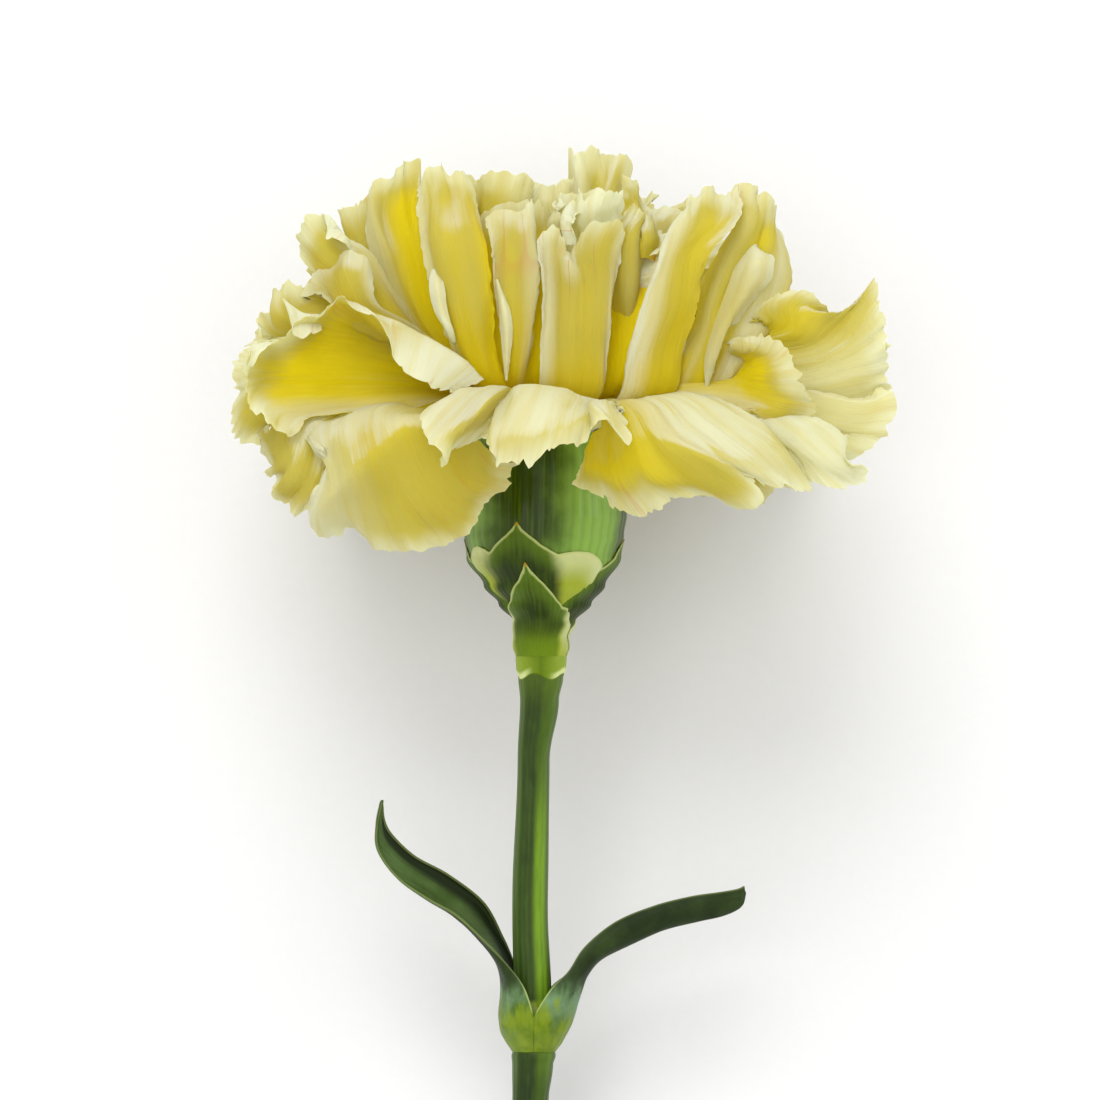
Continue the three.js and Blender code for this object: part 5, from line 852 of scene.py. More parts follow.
# Teeth of the rims: widths and heights in mm.
LOBE_WIDTH = 3.1
LOBE_HEIGHT = 0.75
LOBE_POWER = 0.55  # under 1, the lobes are blunt and the notches between them sharp
LOBE_MEAN = 0.7  # taken off, so that the teeth stand to both sides of the rim
LOBE_SIZE = 0.6  # the middle of their sizes, and how far they go from it
TOOTH_WIDTH = 1.15
TOOTH_HEIGHT = 0.34
TOOTH_MEAN = 0.6
NICK_WIDTH = 0.4
NICK_HEIGHT = 0.16
TEETH_DEPTH = 4  # the sheet is stretched to its teeth over so many mm
SIDE_TEETH_DEPTH = 2.2
SIDE_TEETH = 0.7  # the teeth of the sides, as a share of the rim's
CORNER_TEETH = 0.3  # and those of the rim at its very corners
CORNER_MM = 1.5
OTHER_SIDE = 50  # mm between the teeth of the left side and those of the right one

# Waves of the sheets: height, length round the rim, length from root to rim, all in mm, and seed. The frills
# grow towards the margins: the last two numbers are how far off they begin and where they are full.
SWELL = (0.7, 7.5, 9, 10)
FRILLS = [(1.5, 4.2, 7, 11, 10, 0.5), (0.62, 1.9, 4, 12, 5, 0), (0.3, 0.9, 2, 15, 2, 0)]
PLEATS = [(0.14, 2.2, 22, 13), (0.05, 0.8, 18, 14)]
FREE_FROM = 0.25  # shares of a petal's length between which it comes free and can wave
FREE_TO = 0.6
PLEATED_FROM = 0.4
SIDE_SLOPE = 1.3  # the sides frill less: they count as further off than they are
SIDE_START = 0.6

# Near a petal's end the pale rim, its own paler margin with painted highlight, goes on round its sides.
# Further down, they count as far from any rim.
SIDE_RIM_SLOPE = 2
SIDE_RIM_START = 0.5
SIDE_RIM_FAR = 12
SIDE_RIM_ENDS = (0.92, 0.55)  # shares of a petal's length

FLAP_ALONG = 0.75  # where on a petal a flap's colour begins
PLAIN_RUFFLE = 1.0  # where a petal's own isn't given
PLAIN_STREAK = 0.3
UV_SHIFT = 37  # mm at most between the veins of one petal and another
UV_LENGTH = 20  # mm along the veins to one unit


def around(azimuth, rise, distance):
    """Upright points at a distance from the calyx mouth, round the axis and up from level, in degrees."""
    azimuth, rise = np.radians(azimuth), np.radians(rise)
    level = distance * np.cos(rise)
    return np.stack([level * np.cos(azimuth), MOUTH_H + distance * np.sin(rise), level * np.sin(azimuth)], -1)


def ring_petal(azimuth, rise, reach, root, seed):
    """A hidden petal by rule: a middle row that arches up, and a toothed and waved rim."""
    level = math.cos(math.radians(rise))
    half_fan = min(math.degrees(math.atan(PETAL_HALF_WIDTH / (reach * level))), WIDEST_HALF_FAN)
    own_rise = rise + RISE_SPREAD * (chance(seed, OWN_RISE) - 0.5)
    waves = lerp(FEWEST_WAVES, MOST_WAVES, chance(seed, OWN_WAVES))
    phase = chance(seed, OWN_PHASE)
    on_floor = max(-math.sin(math.radians(azimuth)), 0) * level
    rim = []
    for j in range(RIM_POINTS):
        share = 2 * j / (RIM_POINTS - 1) - 1
        tooth = (1 if j % 2 else -1) * RIM_TOOTH * (0.5 + chance(seed + 0.5, j))
        swing = WAVE * math.sin(2 * math.pi * (waves * share / 2 + phase))
        distance = reach * (1 - RIM_ROUNDING * share**2 + FLOOR_REACH * on_floor**4) + tooth
        rim.append(around(azimuth + share * half_fan, own_rise + math.degrees(swing / reach), distance))
    turns = [azimuth + share * half_fan * MID_FAN for share in (-1, 0, 1)]
    middle = [around(turn, own_rise, reach * MID_REACH) + [0, ARCH * reach, 0] for turn in turns]
    return dict(root=(azimuth, root, ROOT_WIDTH), rows=[middle, rim])


def fan(petal, u):
    """The laid points at each of a petal's rows, rows x columns, for u from -1 to 1 across it."""
    rows = [spline(row, (u + 1) / 2) for row in petal["rows"]]
    if "root" in petal:
        azimuth, radius, width = petal["root"]
        angle = np.radians(azimuth - u * width / 2)
        rows.insert(0, np.stack([radius * np.cos(angle), MOUTH_H + 0 * angle, radius * np.sin(angle)], -1))
    return lay(np.stack(rows))


def skin(rows, v):
    """Smooth curves through each column of rows, at v from 0 to 1 of their length: columns x along."""
    step = np.linalg.norm(np.diff(rows, axis=0), axis=2)
    zero = np.zeros((1, rows.shape[1]))
    knot = np.vstack([zero, np.cumsum(np.sqrt(step), 0)])
    length = np.vstack([zero, np.cumsum(step, 0)])
    gap = np.diff(knot, axis=0)[..., None]
    slope = np.diff(rows, axis=0) / gap
    inner = (slope[:-1] * gap[1:] + slope[1:] * gap[:-1]) / (gap[:-1] + gap[1:])
    tangent = np.concatenate([slope[:1], inner, slope[-1:]])
    columns = []
    for c in range(rows.shape[1]):
        s = np.interp(v * length[-1, c], length[:, c], knot[:, c])
        k = np.clip(np.searchsorted(knot[:, c], s, "right") - 1, 0, len(rows) - 2)
        span = gap[k, c]
        t = (s - knot[k, c])[:, None] / span
        start = (2 * t**3 - 3 * t**2 + 1) * rows[k, c] + (t**3 - 2 * t**2 + t) * span * tangent[k, c]
        end = (3 * t**2 - 2 * t**3) * rows[k + 1, c] + (t**3 - t**2) * span * tangent[k + 1, c]
        columns.append(start + end)
    return np.stack(columns)


def teeth(along_rim, seed):
    """How far a petal's rim stands out, in mm: uneven lobes with sharp notches, and small teeth on them."""
    wander = 0.9 * noise(along_rim / 4.5, 0, seed + 1)
    lobes = np.abs(np.sin(math.pi * (along_rim / LOBE_WIDTH + wander))) ** LOBE_POWER - LOBE_MEAN
    size = LOBE_SIZE + LOBE_SIZE * noise(along_rim / 3.7, 3, seed + 2)
    wander = 0.8 * noise(along_rim / 1.7, 5, seed + 3)
    small = np.abs(np.sin(math.pi * (along_rim / TOOTH_WIDTH + wander))) - TOOTH_MEAN
    nicks = noise(along_rim / NICK_WIDTH, 7, seed + 4)
    return LOBE_HEIGHT * size * lobes + TOOTH_HEIGHT * (LOBE_SIZE + size) * small + NICK_HEIGHT * nicks


def wave(rim, down, seed, height, round_length, down_length, own_seed):
    """One layer of waves, where rim is measured round the rim and down from root to rim or back."""
    return noise(rim / round_length, down / down_length, seed + own_seed) * height


def smooth_sheet(petal, column, rows):
    """A petal or flap before it is toothed and waved, with its ribs evenly spaced along the rim."""
    fine_u = np.linspace(-1, 1, RIM_STEPS)
    run = run_of(fan(petal, fine_u)[-1], 0)
    columns = int(np.clip(run[-1] / column, FEWEST_COLUMNS, MOST_COLUMNS))
    u = np.interp(np.linspace(0, run[-1], columns), run, fine_u)
    v = 1 - (1 - np.linspace(0, 1, rows)) ** ROW_CROWDING
    return skin(fan(petal, u), v)


def petal_attributes(petal, along, edge, side, across):
    """What the petal material reads at each point."""
    side_rim = SIDE_RIM_SLOPE * side + SIDE_RIM_START + SIDE_RIM_FAR * smooth(along, *SIDE_RIM_ENDS)
    # Painted light for each petal: its deep yellow glow in the hollows and its pale lit parts.
    gold = petal.get("gold", 0.0)
    if isinstance(gold, tuple):
        gold = spline(np.asarray(gold)[:, None], across / across[-1])[..., 0]
    return {
        "along": along if "root" in petal else lerp(FLAP_ALONG, 1, along),
        "edge": np.maximum(np.minimum(edge, side_rim), 0),
        "streak": petal.get("streak", PLAIN_STREAK),
        "gold": gold,
    }


def petal_part(petal, seed, column, rows):
    """A petal or flap as a thin sheet: toothed at its rims, waved, and kept off the floor."""
    grid = smooth_sheet(petal, column, rows)
    ruffle = petal.get("ruffle", PLAIN_RUFFLE)
    notch = 1.0 if "root" in petal else ruffle

    # In mm: from the root, to the rim, across from the first side, to the nearer side, and round the rim.
    from_root = run_of(grid, 1)
    reach = from_root[:, -1:]
    edge = reach - from_root
    across = run_of(grid, 0)
    side = np.minimum(across, across[-1] - across)
    rim = np.broadcast_to(run_of(grid[:, -1], 0)[:, None], edge.shape)
    free = smooth(from_root, FREE_FROM * reach, FREE_TO * reach)

    out = notch * teeth(rim, seed) * smooth(edge, TEETH_DEPTH, 0) * free
    out = out * lerp(CORNER_TEETH, 1, smooth(side, 0, CORNER_MM))
    grid = grid + unit(np.gradient(grid, axis=1)) * out[..., None]
    left = across < across[-1] / 2
    jag = teeth(from_root + np.where(left, 0, OTHER_SIDE), seed + 6) * smooth(side, SIDE_TEETH_DEPTH, 0)
    out = np.where(left, -1, 1) * SIDE_TEETH * notch * jag * free
    grid = grid + unit(np.gradient(grid, axis=0)) * out[..., None]

    margin = np.minimum(edge, SIDE_SLOPE * side + SIDE_START)
    waves = wave(rim, from_root, seed, *SWELL)
    for *frill, begins, full in FRILLS:
        waves = waves + wave(rim, edge, seed, *frill) * smooth(margin, begins, full)
    pleats = sum(wave(rim, from_root, seed, *pleat) for pleat in PLEATS)
    lift = waves * ruffle * free + pleats * smooth(from_root, 0, PLEATED_FROM * reach)
    grid = grid + normals_of(grid) * lift[..., None]
    above = (grid[..., 2] - FLOOR_Z) / FLOOR_BEND
    grid[..., 2] = FLOOR_Z + FLOOR_BEND * np.logaddexp(0, above)

    thickness = lerp(RIM_MM, PETAL_MM, smooth(np.minimum(edge, side), 0, THIN_MM))
    attributes = petal_attributes(petal, from_root / reach, edge, side, across)
    over_veins, along_veins = (from_root, rim) if petal.get("lengthwise") else (rim, from_root)
    uv = np.stack([over_veins + UV_SHIFT * chance(seed, 5), along_veins / UV_LENGTH + seed], -1)
    return sheet_part(grid, thickness, attributes, uv)


WHORL_SEED = 100
WHORL_SEEDS = 20  # for each whorl
FLAP_SEED = 300
RING_SEEDS = 10  # for each ring


def bloom_piece(name, petals, seed, column, rows):
    parts = [petal_part(petal, seed + k, column, rows) for k, petal in enumerate(petals)]
    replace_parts(object_of(name, parts, PETAL_LOOK), "bloom")


def bloom():
    for number, (name, members) in enumerate(WHORLS.items()):
        petals = [FRONT_PETALS[member] for member in members]
        bloom_piece(name, petals, WHORL_SEED + WHORL_SEEDS * number, COLUMN_MM, ROWS)
    bloom_piece("petal_folds", list(FLAPS.values()), FLAP_SEED, COLUMN_MM, FLAP_ROWS)
    for number, (azimuths, *form) in enumerate(RINGS):
        seed = RING_SEEDS * number
        petals = [ring_petal(azimuth, *form, seed + k) for k, azimuth in enumerate(azimuths)]
        bloom_piece(f"petals_ring_{number + 1}", petals, seed, RING_COLUMN_MM, RING_ROWS)


# The bundle of petal claws in the calyx and the dense middle over it, as rows of (h, radius).
CORE = [(11, 6.1), (12.5, 6.5), (16, 6.7), (19, 6.6), (22.3, 6.3), (25.6, 6.1), (30, 6.6), (34, 6), (38, 3.6)]
CORE_X = 0.5
CORE_UV_RADIUS = 7  # mm, from an angle to UV
CORE_RINGS = 90
CORE_SIDES = 260
CORE_PLEATS = 38
CORE_PLEAT_MM = 0.5
CORE_PLEATED_H = (24, 28)  # the pleats grow over these heights, about the calyx's mouth
CORE_COLOUR_H = (20, 60)  # heights over which its colour goes from a petal's root to its rim
CORE_EDGE = 20.0  # mm from any rim


def core():
    h = np.linspace(CORE[0][0], CORE[-1][0], CORE_RINGS)[:, None]
    angles = circle(CORE_SIDES)
    wander = 1.5 * noise(3 * np.cos(angles), 3 * np.sin(angles), 3)
    pleats = np.abs(np.sin(CORE_PLEATS * angles / 2 + wander)) * smooth(h, *CORE_PLEATED_H)
    rings = ring_points(CORE_X, h, profile(CORE, h)[0] - CORE_PLEAT_MM * pleats, angles)
    attributes = {"along": smooth(h, *CORE_COLOUR_H), "edge": CORE_EDGE, "streak": 0.0}
    uv = np.stack(np.broadcast_arrays(angles * CORE_UV_RADIUS, h / UV_LENGTH), -1)
    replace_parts(object_of("claws", [tube_part(lay(rings), attributes, uv)], PETAL_LOOK), "bloom")


bloom()
core()

# ---------- Calyx ----------
# Rows of (h, x of the middle, radius).
CALYX = [
    (0.3, 0.1, 1.9),
    (2.1, 0.1, 1.9),
    (3.9, 0.45, 2.6),
    (5.7, 0.5, 4.2),
    (7.5, 0.45, 5.65),
    (10.3, 0.35, 7.4),
    (12.5, 0.4, 7.95),
    (14.5, 0.5, 8.15),
    (19, 0.5, 8),
    (25, 0.5, 7.6),
]
CALYX_FOOT_H = 0.35
CALYX_RIM_H = 22
CALYX_TEETH = 5
CALYX_TOOTH = 2
CALYX_RIBS = 44
CALYX_WALL = 1.1
CALYX_RINGS = 110
CALYX_SIDES = 528
LINING_RINGS = 60  # of the inside, from the mouth down
RIB_MM = 0.02
RIBBED_H = (2.5, 8)  # the ribs grow over these heights
UNEVEN_MM = 0.05
CALYX_UV_RADIUS = 8  # mm, from an angle to UV
# Bands round the calyx painted paler as sheen, with painted shade between them.
SHEEN_BANDS = [(50, 30, 1.0), (150, 20, 0.7), (214, 26, 0.6), (318, 24, 0.7)]  # azimuth, half width, strength


def calyx_piece(name, parts, material):
    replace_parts(object_of(name, parts, material), "calyx")


def calyx():
    angles = circle(CALYX_SIDES)
    point = 1 - np.abs(2 * ((angles * CALYX_TEETH / (2 * math.pi)) % 1) - 1)
    up = np.linspace(0, 1, CALYX_RINGS)[:, None]
    h = lerp(CALYX_FOOT_H, CALYX_RIM_H + CALYX_TOOTH * point, up)
    x, radius = profile(CALYX, h)
    rib = ribs(CALYX_RIBS * angles + 0.5 * noise(angles * 3, h / 6, 21))
    relief = RIB_MM * (2 * rib - 1) * smooth(h, *RIBBED_H) + UNEVEN_MM * noise(angles * 5, h / 2.5, 22)
    outer = ring_points(x, h, radius + relief, angles)
    lining = ring_points(x, h, radius - CALYX_WALL, angles)[::-1][:LINING_RINGS]
    rings = np.concatenate([outer, lining])
    turn = np.degrees(-angles)
    band = sum(much * np.exp(-(((turn - at + 180) % 360 - 180) / wide) ** 2) for at, wide, much in SHEEN_BANDS)
    attributes = {"h": rings[..., 1], "rib": np.concatenate([rib, rib[:LINING_RINGS]]), "band": band}
    uv = np.stack(np.broadcast_arrays(angles * CALYX_UV_RADIUS, rings[..., 1]), -1)
    calyx_piece("calyx_tube", [tube_part(lay(rings), attributes, uv)], CALYX_LOOK)


# Pairs of bracts, the innermost first: azimuths, half width in degrees, foot height, how far they stand off
# the calyx, and the heights of their margins at degrees from the tip, to the left of it and to the right. The
# thin sides begin at wing degrees from the middle.
BRACTS = {
    "bracts_inner": ((110, 290), dict(
        half=86, foot=1.1, off=0.35, wing=25,
        left=[(0, 13.9), (3, 13.2), (8, 12.5), (16, 11.7), (22, 11.1), (26, 10.8), (30, 11.1), (38, 11.4),
            (46, 11.2), (54, 10.6), (64, 9.4), (86, 7)],
        right=[(0, 13.9), (4, 13.1), (10, 12.4), (18, 11.6), (25, 11), (31, 10.5), (36, 10.7), (44, 10.9),
            (56, 10.8), (66, 10.3), (76, 9.4), (86, 8)])),
    "bracts_side": ((4, 188), dict(
        half=84, foot=0.8, off=0.5, wing=200,
        left=[(0, 12.2), (4, 11.5), (14, 10.4), (30, 9.1), (48, 7.5), (71, 5.5), (84, 4.7)],
        right=[(0, 12.2), (4, 11.5), (16, 10.6), (30, 9.5), (36, 7.6), (46, 5.5), (60, 4.8), (84, 4.2)])),
    "bracts_outer": ((104, 284), dict(
        half=86, foot=0.4, off=0.95, wing=44,
        left=[(0, 9.9), (3, 9.1), (10, 8.1), (20, 7), (32, 5.9), (44, 5.1), (60, 4.4), (86, 3.2)],
        right=[(0, 9.9), (3, 9), (10, 8), (19, 7), (28, 6.1), (37, 5.4), (45, 5.3), (56, 4.8), (68, 3.8),
            (86, 3)])),
}
BRACT_MM = 0.34
BRACT_THIN = 0.1
BRACT_THIN_OVER = 1.5  # mm from the margin
BRACT_COLUMNS = 180
BRACT_ROWS = 46
BRACT_VEINS = 26
VEIN_MM = 0.012
BRACT_RADIUS = 7  # mm, from an angle to a length along the margin
BRACT_SEED = 300
BRACT_SEEDS = 10  # for each pair
TIP_HALF = 12  # degrees
TIP_MM = (1.3, 0.1)  # the brown of the tip comes on between these, in mm below it
LOW_MM = 4.5  # the paler foot
CLOSED_FOOT = 0.72  # how far the foot stands off the calyx, as a share of the middle's
CLOSED_FOOT_TO = 0.3  # a share of the height
CLOSED_MARGIN = 0.35  # the share by which the margin stands nearer
MARGIN_UNEVEN_MM = 0.07
WING_BEFORE = 12  # degrees from the middle, about wing, over which the thin sides begin
WING_AFTER = 17
WING_BEFORE_SLOPE = 1.5  # and degrees that this moves outwards for each mm below the margin
WING_AFTER_SLOPE = 3


def bract_part(seed, azimuth, half, foot, off, wing, left, right):
    """One bract: a sheet that follows the calyx at a small distance, from its foot to its margin."""
    u, v = np.meshgrid(np.linspace(1, -1, BRACT_COLUMNS), np.linspace(0, 1, BRACT_ROWS), indexing="ij")
    aside = np.abs(u) * half
    top = np.where(u < 0, np.interp(aside, *zip(*left)), np.interp(aside, *zip(*right)))
    top = top + MARGIN_UNEVEN_MM * noise(u * 14, 0, seed) * smooth(aside, 2, TIP_HALF)
    h = lerp(foot, top, v)
    x, radius = profile(CALYX, h)
    angle = np.radians(azimuth - u * half)
    swell = lerp(CLOSED_FOOT, 1, smooth(v, 0, CLOSED_FOOT_TO)) * (1 - CLOSED_MARGIN * v**3)
    vein = ribs(BRACT_VEINS * math.pi * u + 0.3 * noise(u * 4, v * 2, seed + 1))
    relief = VEIN_MM * vein + UNEVEN_MM * noise(u * 3, v * 2, seed + 2)
    grid = lay(ring_points(x, h, radius + off * swell + relief - BRACT_MM / 2, -angle))
    width = np.abs(np.gradient(angle, axis=0)) * BRACT_RADIUS
    slope = np.abs(np.gradient(top, axis=0)) / np.maximum(width, TINY)
    below = top - h
    edge = below / np.sqrt(1 + slope**2)
    wing_from = wing - WING_BEFORE + WING_BEFORE_SLOPE * below
    wing_to = wing + WING_AFTER + WING_AFTER_SLOPE * below
    attributes = {
        "edge": edge,
        "tip": smooth(top.max() - h, *TIP_MM) * (aside < TIP_HALF),
        "rib": vein,
        "low": 1 - smooth(h, foot, foot + LOW_MM),
        "wing": smooth(aside, wing_from, wing_to),
    }
    thickness = lerp(BRACT_THIN, BRACT_MM, smooth(edge, 0, BRACT_THIN_OVER))
    return sheet_part(grid, thickness, attributes, np.stack([angle * CALYX_UV_RADIUS, h], -1))


def bracts():
    for number, (name, (azimuths, form)) in enumerate(BRACTS.items()):
        seed = BRACT_SEED + BRACT_SEEDS * number
        parts = [bract_part(seed + k, azimuth, **form) for k, azimuth in enumerate(azimuths)]
        calyx_piece(name, parts, BRACT_LOOK)


calyx()
bracts()

# ---------- Stem ----------
# Rows of (h, x of the middle, radius).
STEM = [
    (CUT_H, -1.9, CUT_RADIUS),
    (-60, -1.2, 1.9),
    (-44, -0.95, 1.8),
    (-40.5, -0.75, 2.05),
    (-39.5, -0.65, 2.22),
    (-39.1, -0.62, 2.1),
    (-38.4, -0.6, 1.85),
    (-37.2, -0.55, 2.3),
    (-35.6, -0.55, 2.5),
    (-33.8, -0.75, 1.9),
    (-25, -1, 1.8),
    (-10, -0.65, 1.6),
    (-4, -0.05, 1.95),
    (-1.8, 0.08, 2.25),
    (-0.9, 0.12, 2.5),
    (0, 0.12, 2.56),
]
STEM_RINGS = 420
STEM_SIDES = 144
STEM_RIDGES = 18
RIDGE_SHARE = 0.012  # of the radius
STALK_TOP = 0.9  # the stalk runs on into the calyx
# The painted highlight down the stem: where it lies, how wide it is, and how strong along the stem.
STRIPE_ANGLE = math.radians(-55)  # a paler stripe down the stem
STRIPE_FROM = 0.84  # the cosine of its half width
STRIPE_LOW = 0.35  # its strength below the joint, and the heights over which it gets there
STRIPE_LOW_H = (-40, -34)
STRIPE_HIGH = 0.25  # and near the calyx
STRIPE_HIGH_H = (-20, -8)
COLLAR_H = -1.25  # where the foot of the calyx begins on the stalk, at the viewer's side
COLLAR_DIP = 0.6
STALK_UV_RADIUS = 2


def stem():
    angles = circle(STEM_SIDES)
    h = np.linspace(CUT_H, STALK_TOP, STEM_RINGS)[:, None]
    x, radius = profile(STEM, h)
    ridge = ribs(STEM_RIDGES * angles + 0.9 * noise(angles * 2, h / 12, 31))
    radius = radius * (1 + RIDGE_SHARE * (ridge - 1) + RIDGE_SHARE * noise(angles, h / 5, 32))
    slanted = h + 0 * angles
    slanted[0] -= CUT_SLANT * np.sin(angles)
    rings = lay(ring_points(x, slanted, radius, angles))
    rings[..., 2] = np.maximum(rings[..., 2], 0.0)
    stripe = smooth(np.cos(angles - STRIPE_ANGLE), STRIPE_FROM, 1.0)
    stripe = stripe * lerp(STRIPE_LOW, 1, smooth(h, *STRIPE_LOW_H))
    stripe = stripe * lerp(1, STRIPE_HIGH, smooth(h, *STRIPE_HIGH_H))
    attributes = {
        "h": h,
        "ridge": ridge,
        "stripe": stripe,
        "collar": h - COLLAR_H + COLLAR_DIP * np.sin(2 * angles + 0.6) ** 2,
        "side": np.abs(np.cos(angles)),
    }
    uv = np.stack(np.broadcast_arrays(angles * STALK_UV_RADIUS, h), -1)
    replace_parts(object_of("stalk", [tube_part(rings, attributes, uv)], STEM_LOOK), "stem")


stem()

# ---------- Leaves ----------
# Rows from the sheath round the joint to the tip, of (x, h, d) on the margin towards the viewer, on the
# keel, and on the far margin.
LEAVES = {
    "leaf_left": [
        ((-0.64, -39.1, 2.1), (-2.72, -39.1, 0), (-0.64, -39.1, -2.1)),
        ((-0.64, -38.1, 2.6), (-3.2, -38.1, 0), (-0.64, -38.1, -2.6)),
        ((-0.64, -36.8, 3.25), (-3.75, -36.9, 0), (-0.64, -36.8, -3.25)),
        ((-0.64, -35.5, 3.5), (-3.9, -35.6, 0), (-0.64, -35.5, -3.5)),
        ((-1.5, -32.8, 3.3), (-3.7, -33, 0), (-1.6, -32.8, -3.2)),
        ((-2.9, -30.8, 2.8), (-4, -30.6, -0.2), (-2.5, -30.5, -2.8)),
        ((-5.3, -28.3, 2.2), (-5.3, -28, -0.8), (-3.7, -27.8, -2.3)),
        ((-8.4, -25.5, 1.8), (-7.6, -25.1, -1), (-5.7, -24.3, -1.7)),
        ((-11.4, -23.7, 1.5), (-10.7, -22.9, -0.9), (-9.2, -21.5, -1.2)),
        ((-14.2, -21.7, 1.2), (-13.7, -20.7, -0.7), (-12.6, -19.6, -0.8)),
        ((-16.2, -18.9, 0.8), (-15.7, -18.3, -0.3), (-14.8, -17.5, -0.4)),
        ((-16.3, -16.4, 0.4), (-16, -16.1, -0.1), (-15.6, -15.9, -0.2)),
        ((-15.9, -14.2, 0.1), (-15.85, -14.1, 0), (-15.75, -14, -0.1)),
    ],
    "leaf_right": [
        ((-0.6, -39.1, 2.1), (1.48, -39.1, 0), (-0.6, -39.1, -2.1)),
        ((-0.6, -38.1, 2.6), (1.98, -38.1, 0), (-0.6, -38.1, -2.6)),
        ((-0.6, -36.8, 3.25), (2.68, -36.9, 0), (-0.6, -36.8, -3.25)),
        ((-0.58, -35.5, 3.5), (3.2, -35.6, 0), (-0.58, -35.5, -3.5)),
        ((1.1, -32.8, 3.2), (3.9, -33.2, 0.1), (1.1, -32.8, -3.2)),
        ((2.8, -31.1, 2.5), (4.6, -31.4, 0.2), (2.8, -31.3, -2.6)),
        ((4.5, -28.6, 1.9), (6, -29.8, 0.3), (4.4, -28.9, -2.1)),
        ((7.6, -26.1, 1.6), (8.7, -28.4, 0.3), (7.6, -26.5, -1.7)),
        ((11.5, -24.5, 1.4), (12.1, -26.8, 0.3), (11.5, -24.9, -1.5)),
        ((15.1, -23.6, 1.1), (15.6, -25.9, 0.2), (15.1, -24, -1.2)),
        ((17.8, -23.2, 0.9), (18.3, -25.3, 0.1), (17.8, -23.6, -0.9)),
        ((19.6, -22.9, 0.5), (19.9, -24.5, 0.05), (19.6, -23.2, -0.6)),
        ((20.4, -22.6, 0.2), (20.5, -23.3, 0), (20.4, -22.8, -0.2)),
    ],
}
LEAF_MM = 0.55
LEAF_EDGE_MM = 0.22
LEAF_THIN_OVER = 1.2  # mm from the margin
LEAF_COLUMNS = 61
LEAF_ROWS = 220
LEAF_UNEVEN_MM = 0.05
SHEATH_H = (-38, -30.5)  # all sheath at the first, all blade at the second
LEAF_SEED = 400


def leaf(name, rows, seed):
    """A leaf as a folded sheet, half an oval across with the keel at its middle."""
    rows = np.asarray(rows, float)
    turn = -1 if rows[0, 1, 0] < rows[0, 0, 0] else 1
    sides = turn * np.linspace(-1, 1, LEAF_COLUMNS)
    u, v = np.meshgrid(sides, np.linspace(0, 1, LEAF_ROWS), indexing="ij")
    near, keel, far = (spline(rows[:, k], v) for k in range(3))
    angle = (u * math.pi / 2)[..., None]
    points = keel + (far - near) / 2 * np.sin(angle) + ((near + far) / 2 - keel) * (1 - np.cos(angle))
    grid = lay(points)
    grid += normals_of(grid) * (LEAF_UNEVEN_MM * noise(u * 5, v * 14, seed))[..., None]
    edge = np.minimum(np.linalg.norm(grid - grid[:1], axis=-1), np.linalg.norm(grid - grid[-1:], axis=-1))
    run = run_of(grid, 0)
    along = run_of(grid, 1)
    attributes = {"edge": edge, "sheath": 1 - smooth(points[..., 1], *SHEATH_H), "near": (1 - u) / 2}
    from_end = np.minimum(along, along[:, -1:] - along)
    thickness = lerp(LEAF_EDGE_MM, LEAF_MM, smooth(np.minimum(edge, from_end), 0, LEAF_THIN_OVER))
    part = sheet_part(grid, thickness, attributes, np.stack([run, along], -1))
    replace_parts(object_of(name + "_blade", [part], LEAF_LOOK), name)


for number, (name, rows) in enumerate(LEAVES.items()):
    leaf(name, rows, LEAF_SEED + number)

# ---------- Floor, camera and light ----------
# In metres, but for the names that end in MM and the aims, which are upright and in mm.
FLOOR_HALF = 4.0
FIELD_MM = 110  # the photograph's width
CAMERA_AIM = (1, 11, 0)  # the photograph's middle
CAMERA_DISTANCE = 1.5
CAMERA_END = 20  # how far it sees
SENSOR_MM = 36
LAMP_AIM = (0, 20, 0)
STEEP = 0.9  # a lamp that is so much towards the viewer hangs overhead, and takes +Y for its top
WORLD_STRENGTH = 1.05


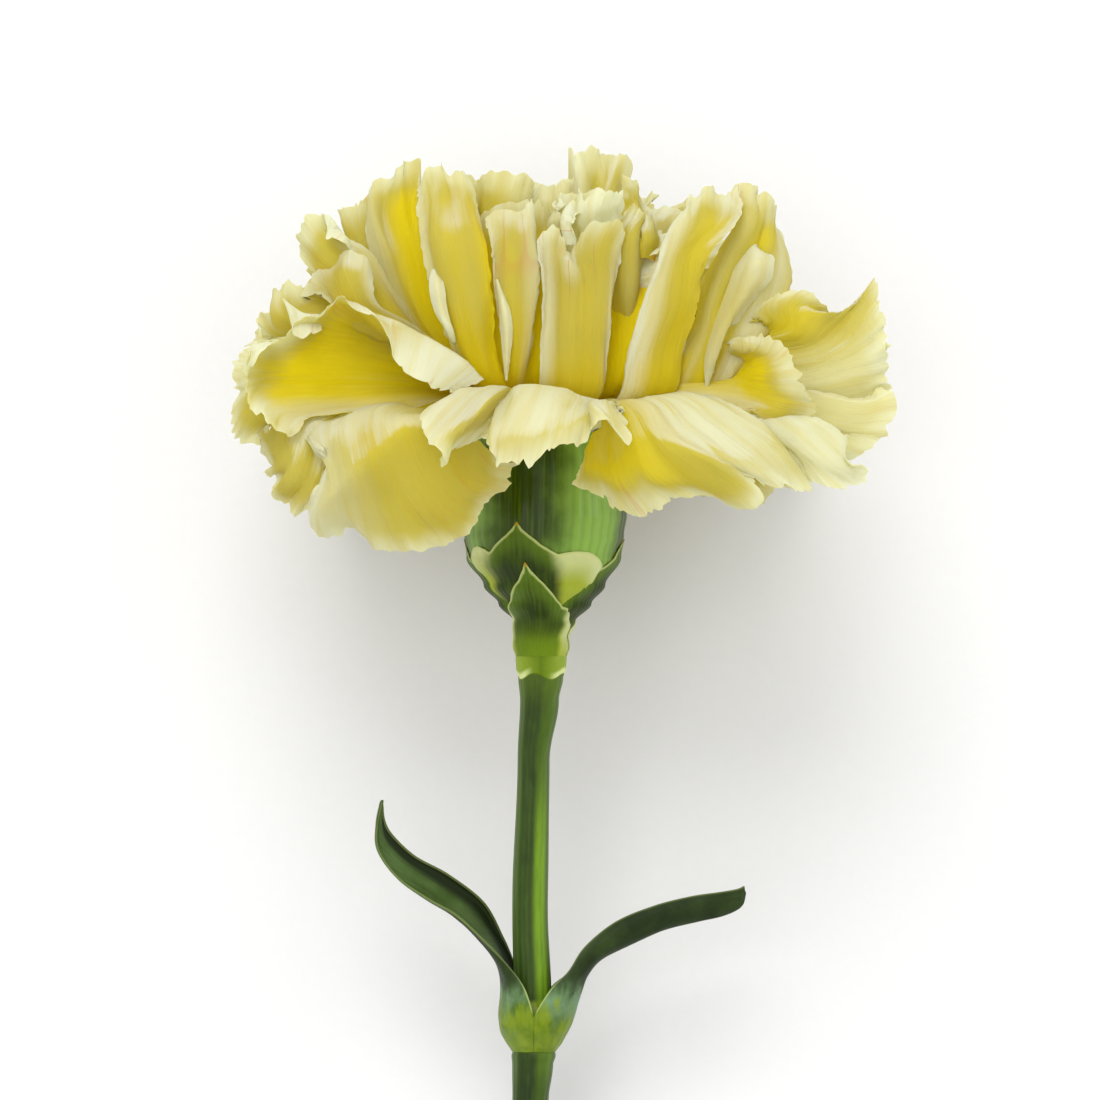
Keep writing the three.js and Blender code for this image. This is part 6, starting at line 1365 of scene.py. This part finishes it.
def world_point(x, h, d):
    return Vector((lay((x, h, d)) + SHIFT) * MM)


def direction(x, h, d):
    """A direction given upright, in the world."""
    return (world_point(x, h, d) - world_point(0, 0, 0)).normalized()


def turn_to(obj, place, target, up):
    """Puts a camera or lamp at place to face target, with up towards the picture's top."""
    back = (place - target).normalized()
    right = up.cross(back).normalized()
    turn = Matrix((right, back.cross(right), back)).transposed()
    obj.matrix_world = Matrix.Translation(place) @ turn.to_4x4()


def floor():
    mesh = bpy.data.meshes.new("floor")
    corners = [(x * FLOOR_HALF, y * FLOOR_HALF, 0) for x, y in ((-1, -1), (1, -1), (1, 1), (-1, 1))]
    mesh.from_pydata(corners, [], [(0, 1, 2, 3)])
    mesh.materials.append(floor_material())
    add_object("floor", mesh)


def camera():
    view = bpy.data.cameras.new("camera")
    view.sensor_width = SENSOR_MM
    view.lens = SENSOR_MM * CAMERA_DISTANCE / (FIELD_MM * MM)
    view.clip_end = CAMERA_END
    target = world_point(*CAMERA_AIM)
    bpy.context.scene.camera = add_object("camera", view)
    place = target + direction(0, 0, 1) * CAMERA_DISTANCE
    turn_to(bpy.context.scene.camera, place, target, direction(0, 1, 0))


def lamp(name, towards, distance, size, watts):
    light = bpy.data.lights.new(name, "AREA")
    light.shape = "DISK"
    light.size = size
    light.energy = watts
    target = world_point(*LAMP_AIM)
    up = Vector((0, 0, 1)) if towards[2] < STEEP else Vector((0, 1, 0))
    turn_to(add_object(name, light), target + direction(*towards) * distance, target, up)


def surroundings():
    world = bpy.data.worlds.new("studio")
    world.use_nodes = True
    background = world.node_tree.nodes["Background"].inputs
    background["Color"].default_value = (1, 1, 1, 1)
    background["Strength"].default_value = WORLD_STRENGTH
    bpy.context.scene.world = world
    bpy.context.scene.view_settings.view_transform = "Standard"


floor()
camera()
lamp("key", (-0.15, 0.75, 0.7), 1.3, 0.9, 9.8)
lamp("strip_right", (0.93, 0.05, 0.38), 1.1, 0.3, 1.6)
lamp("fill_front", (-0.35, 0.0, 1.0), 1.3, 0.8, 2.4)
surroundings()
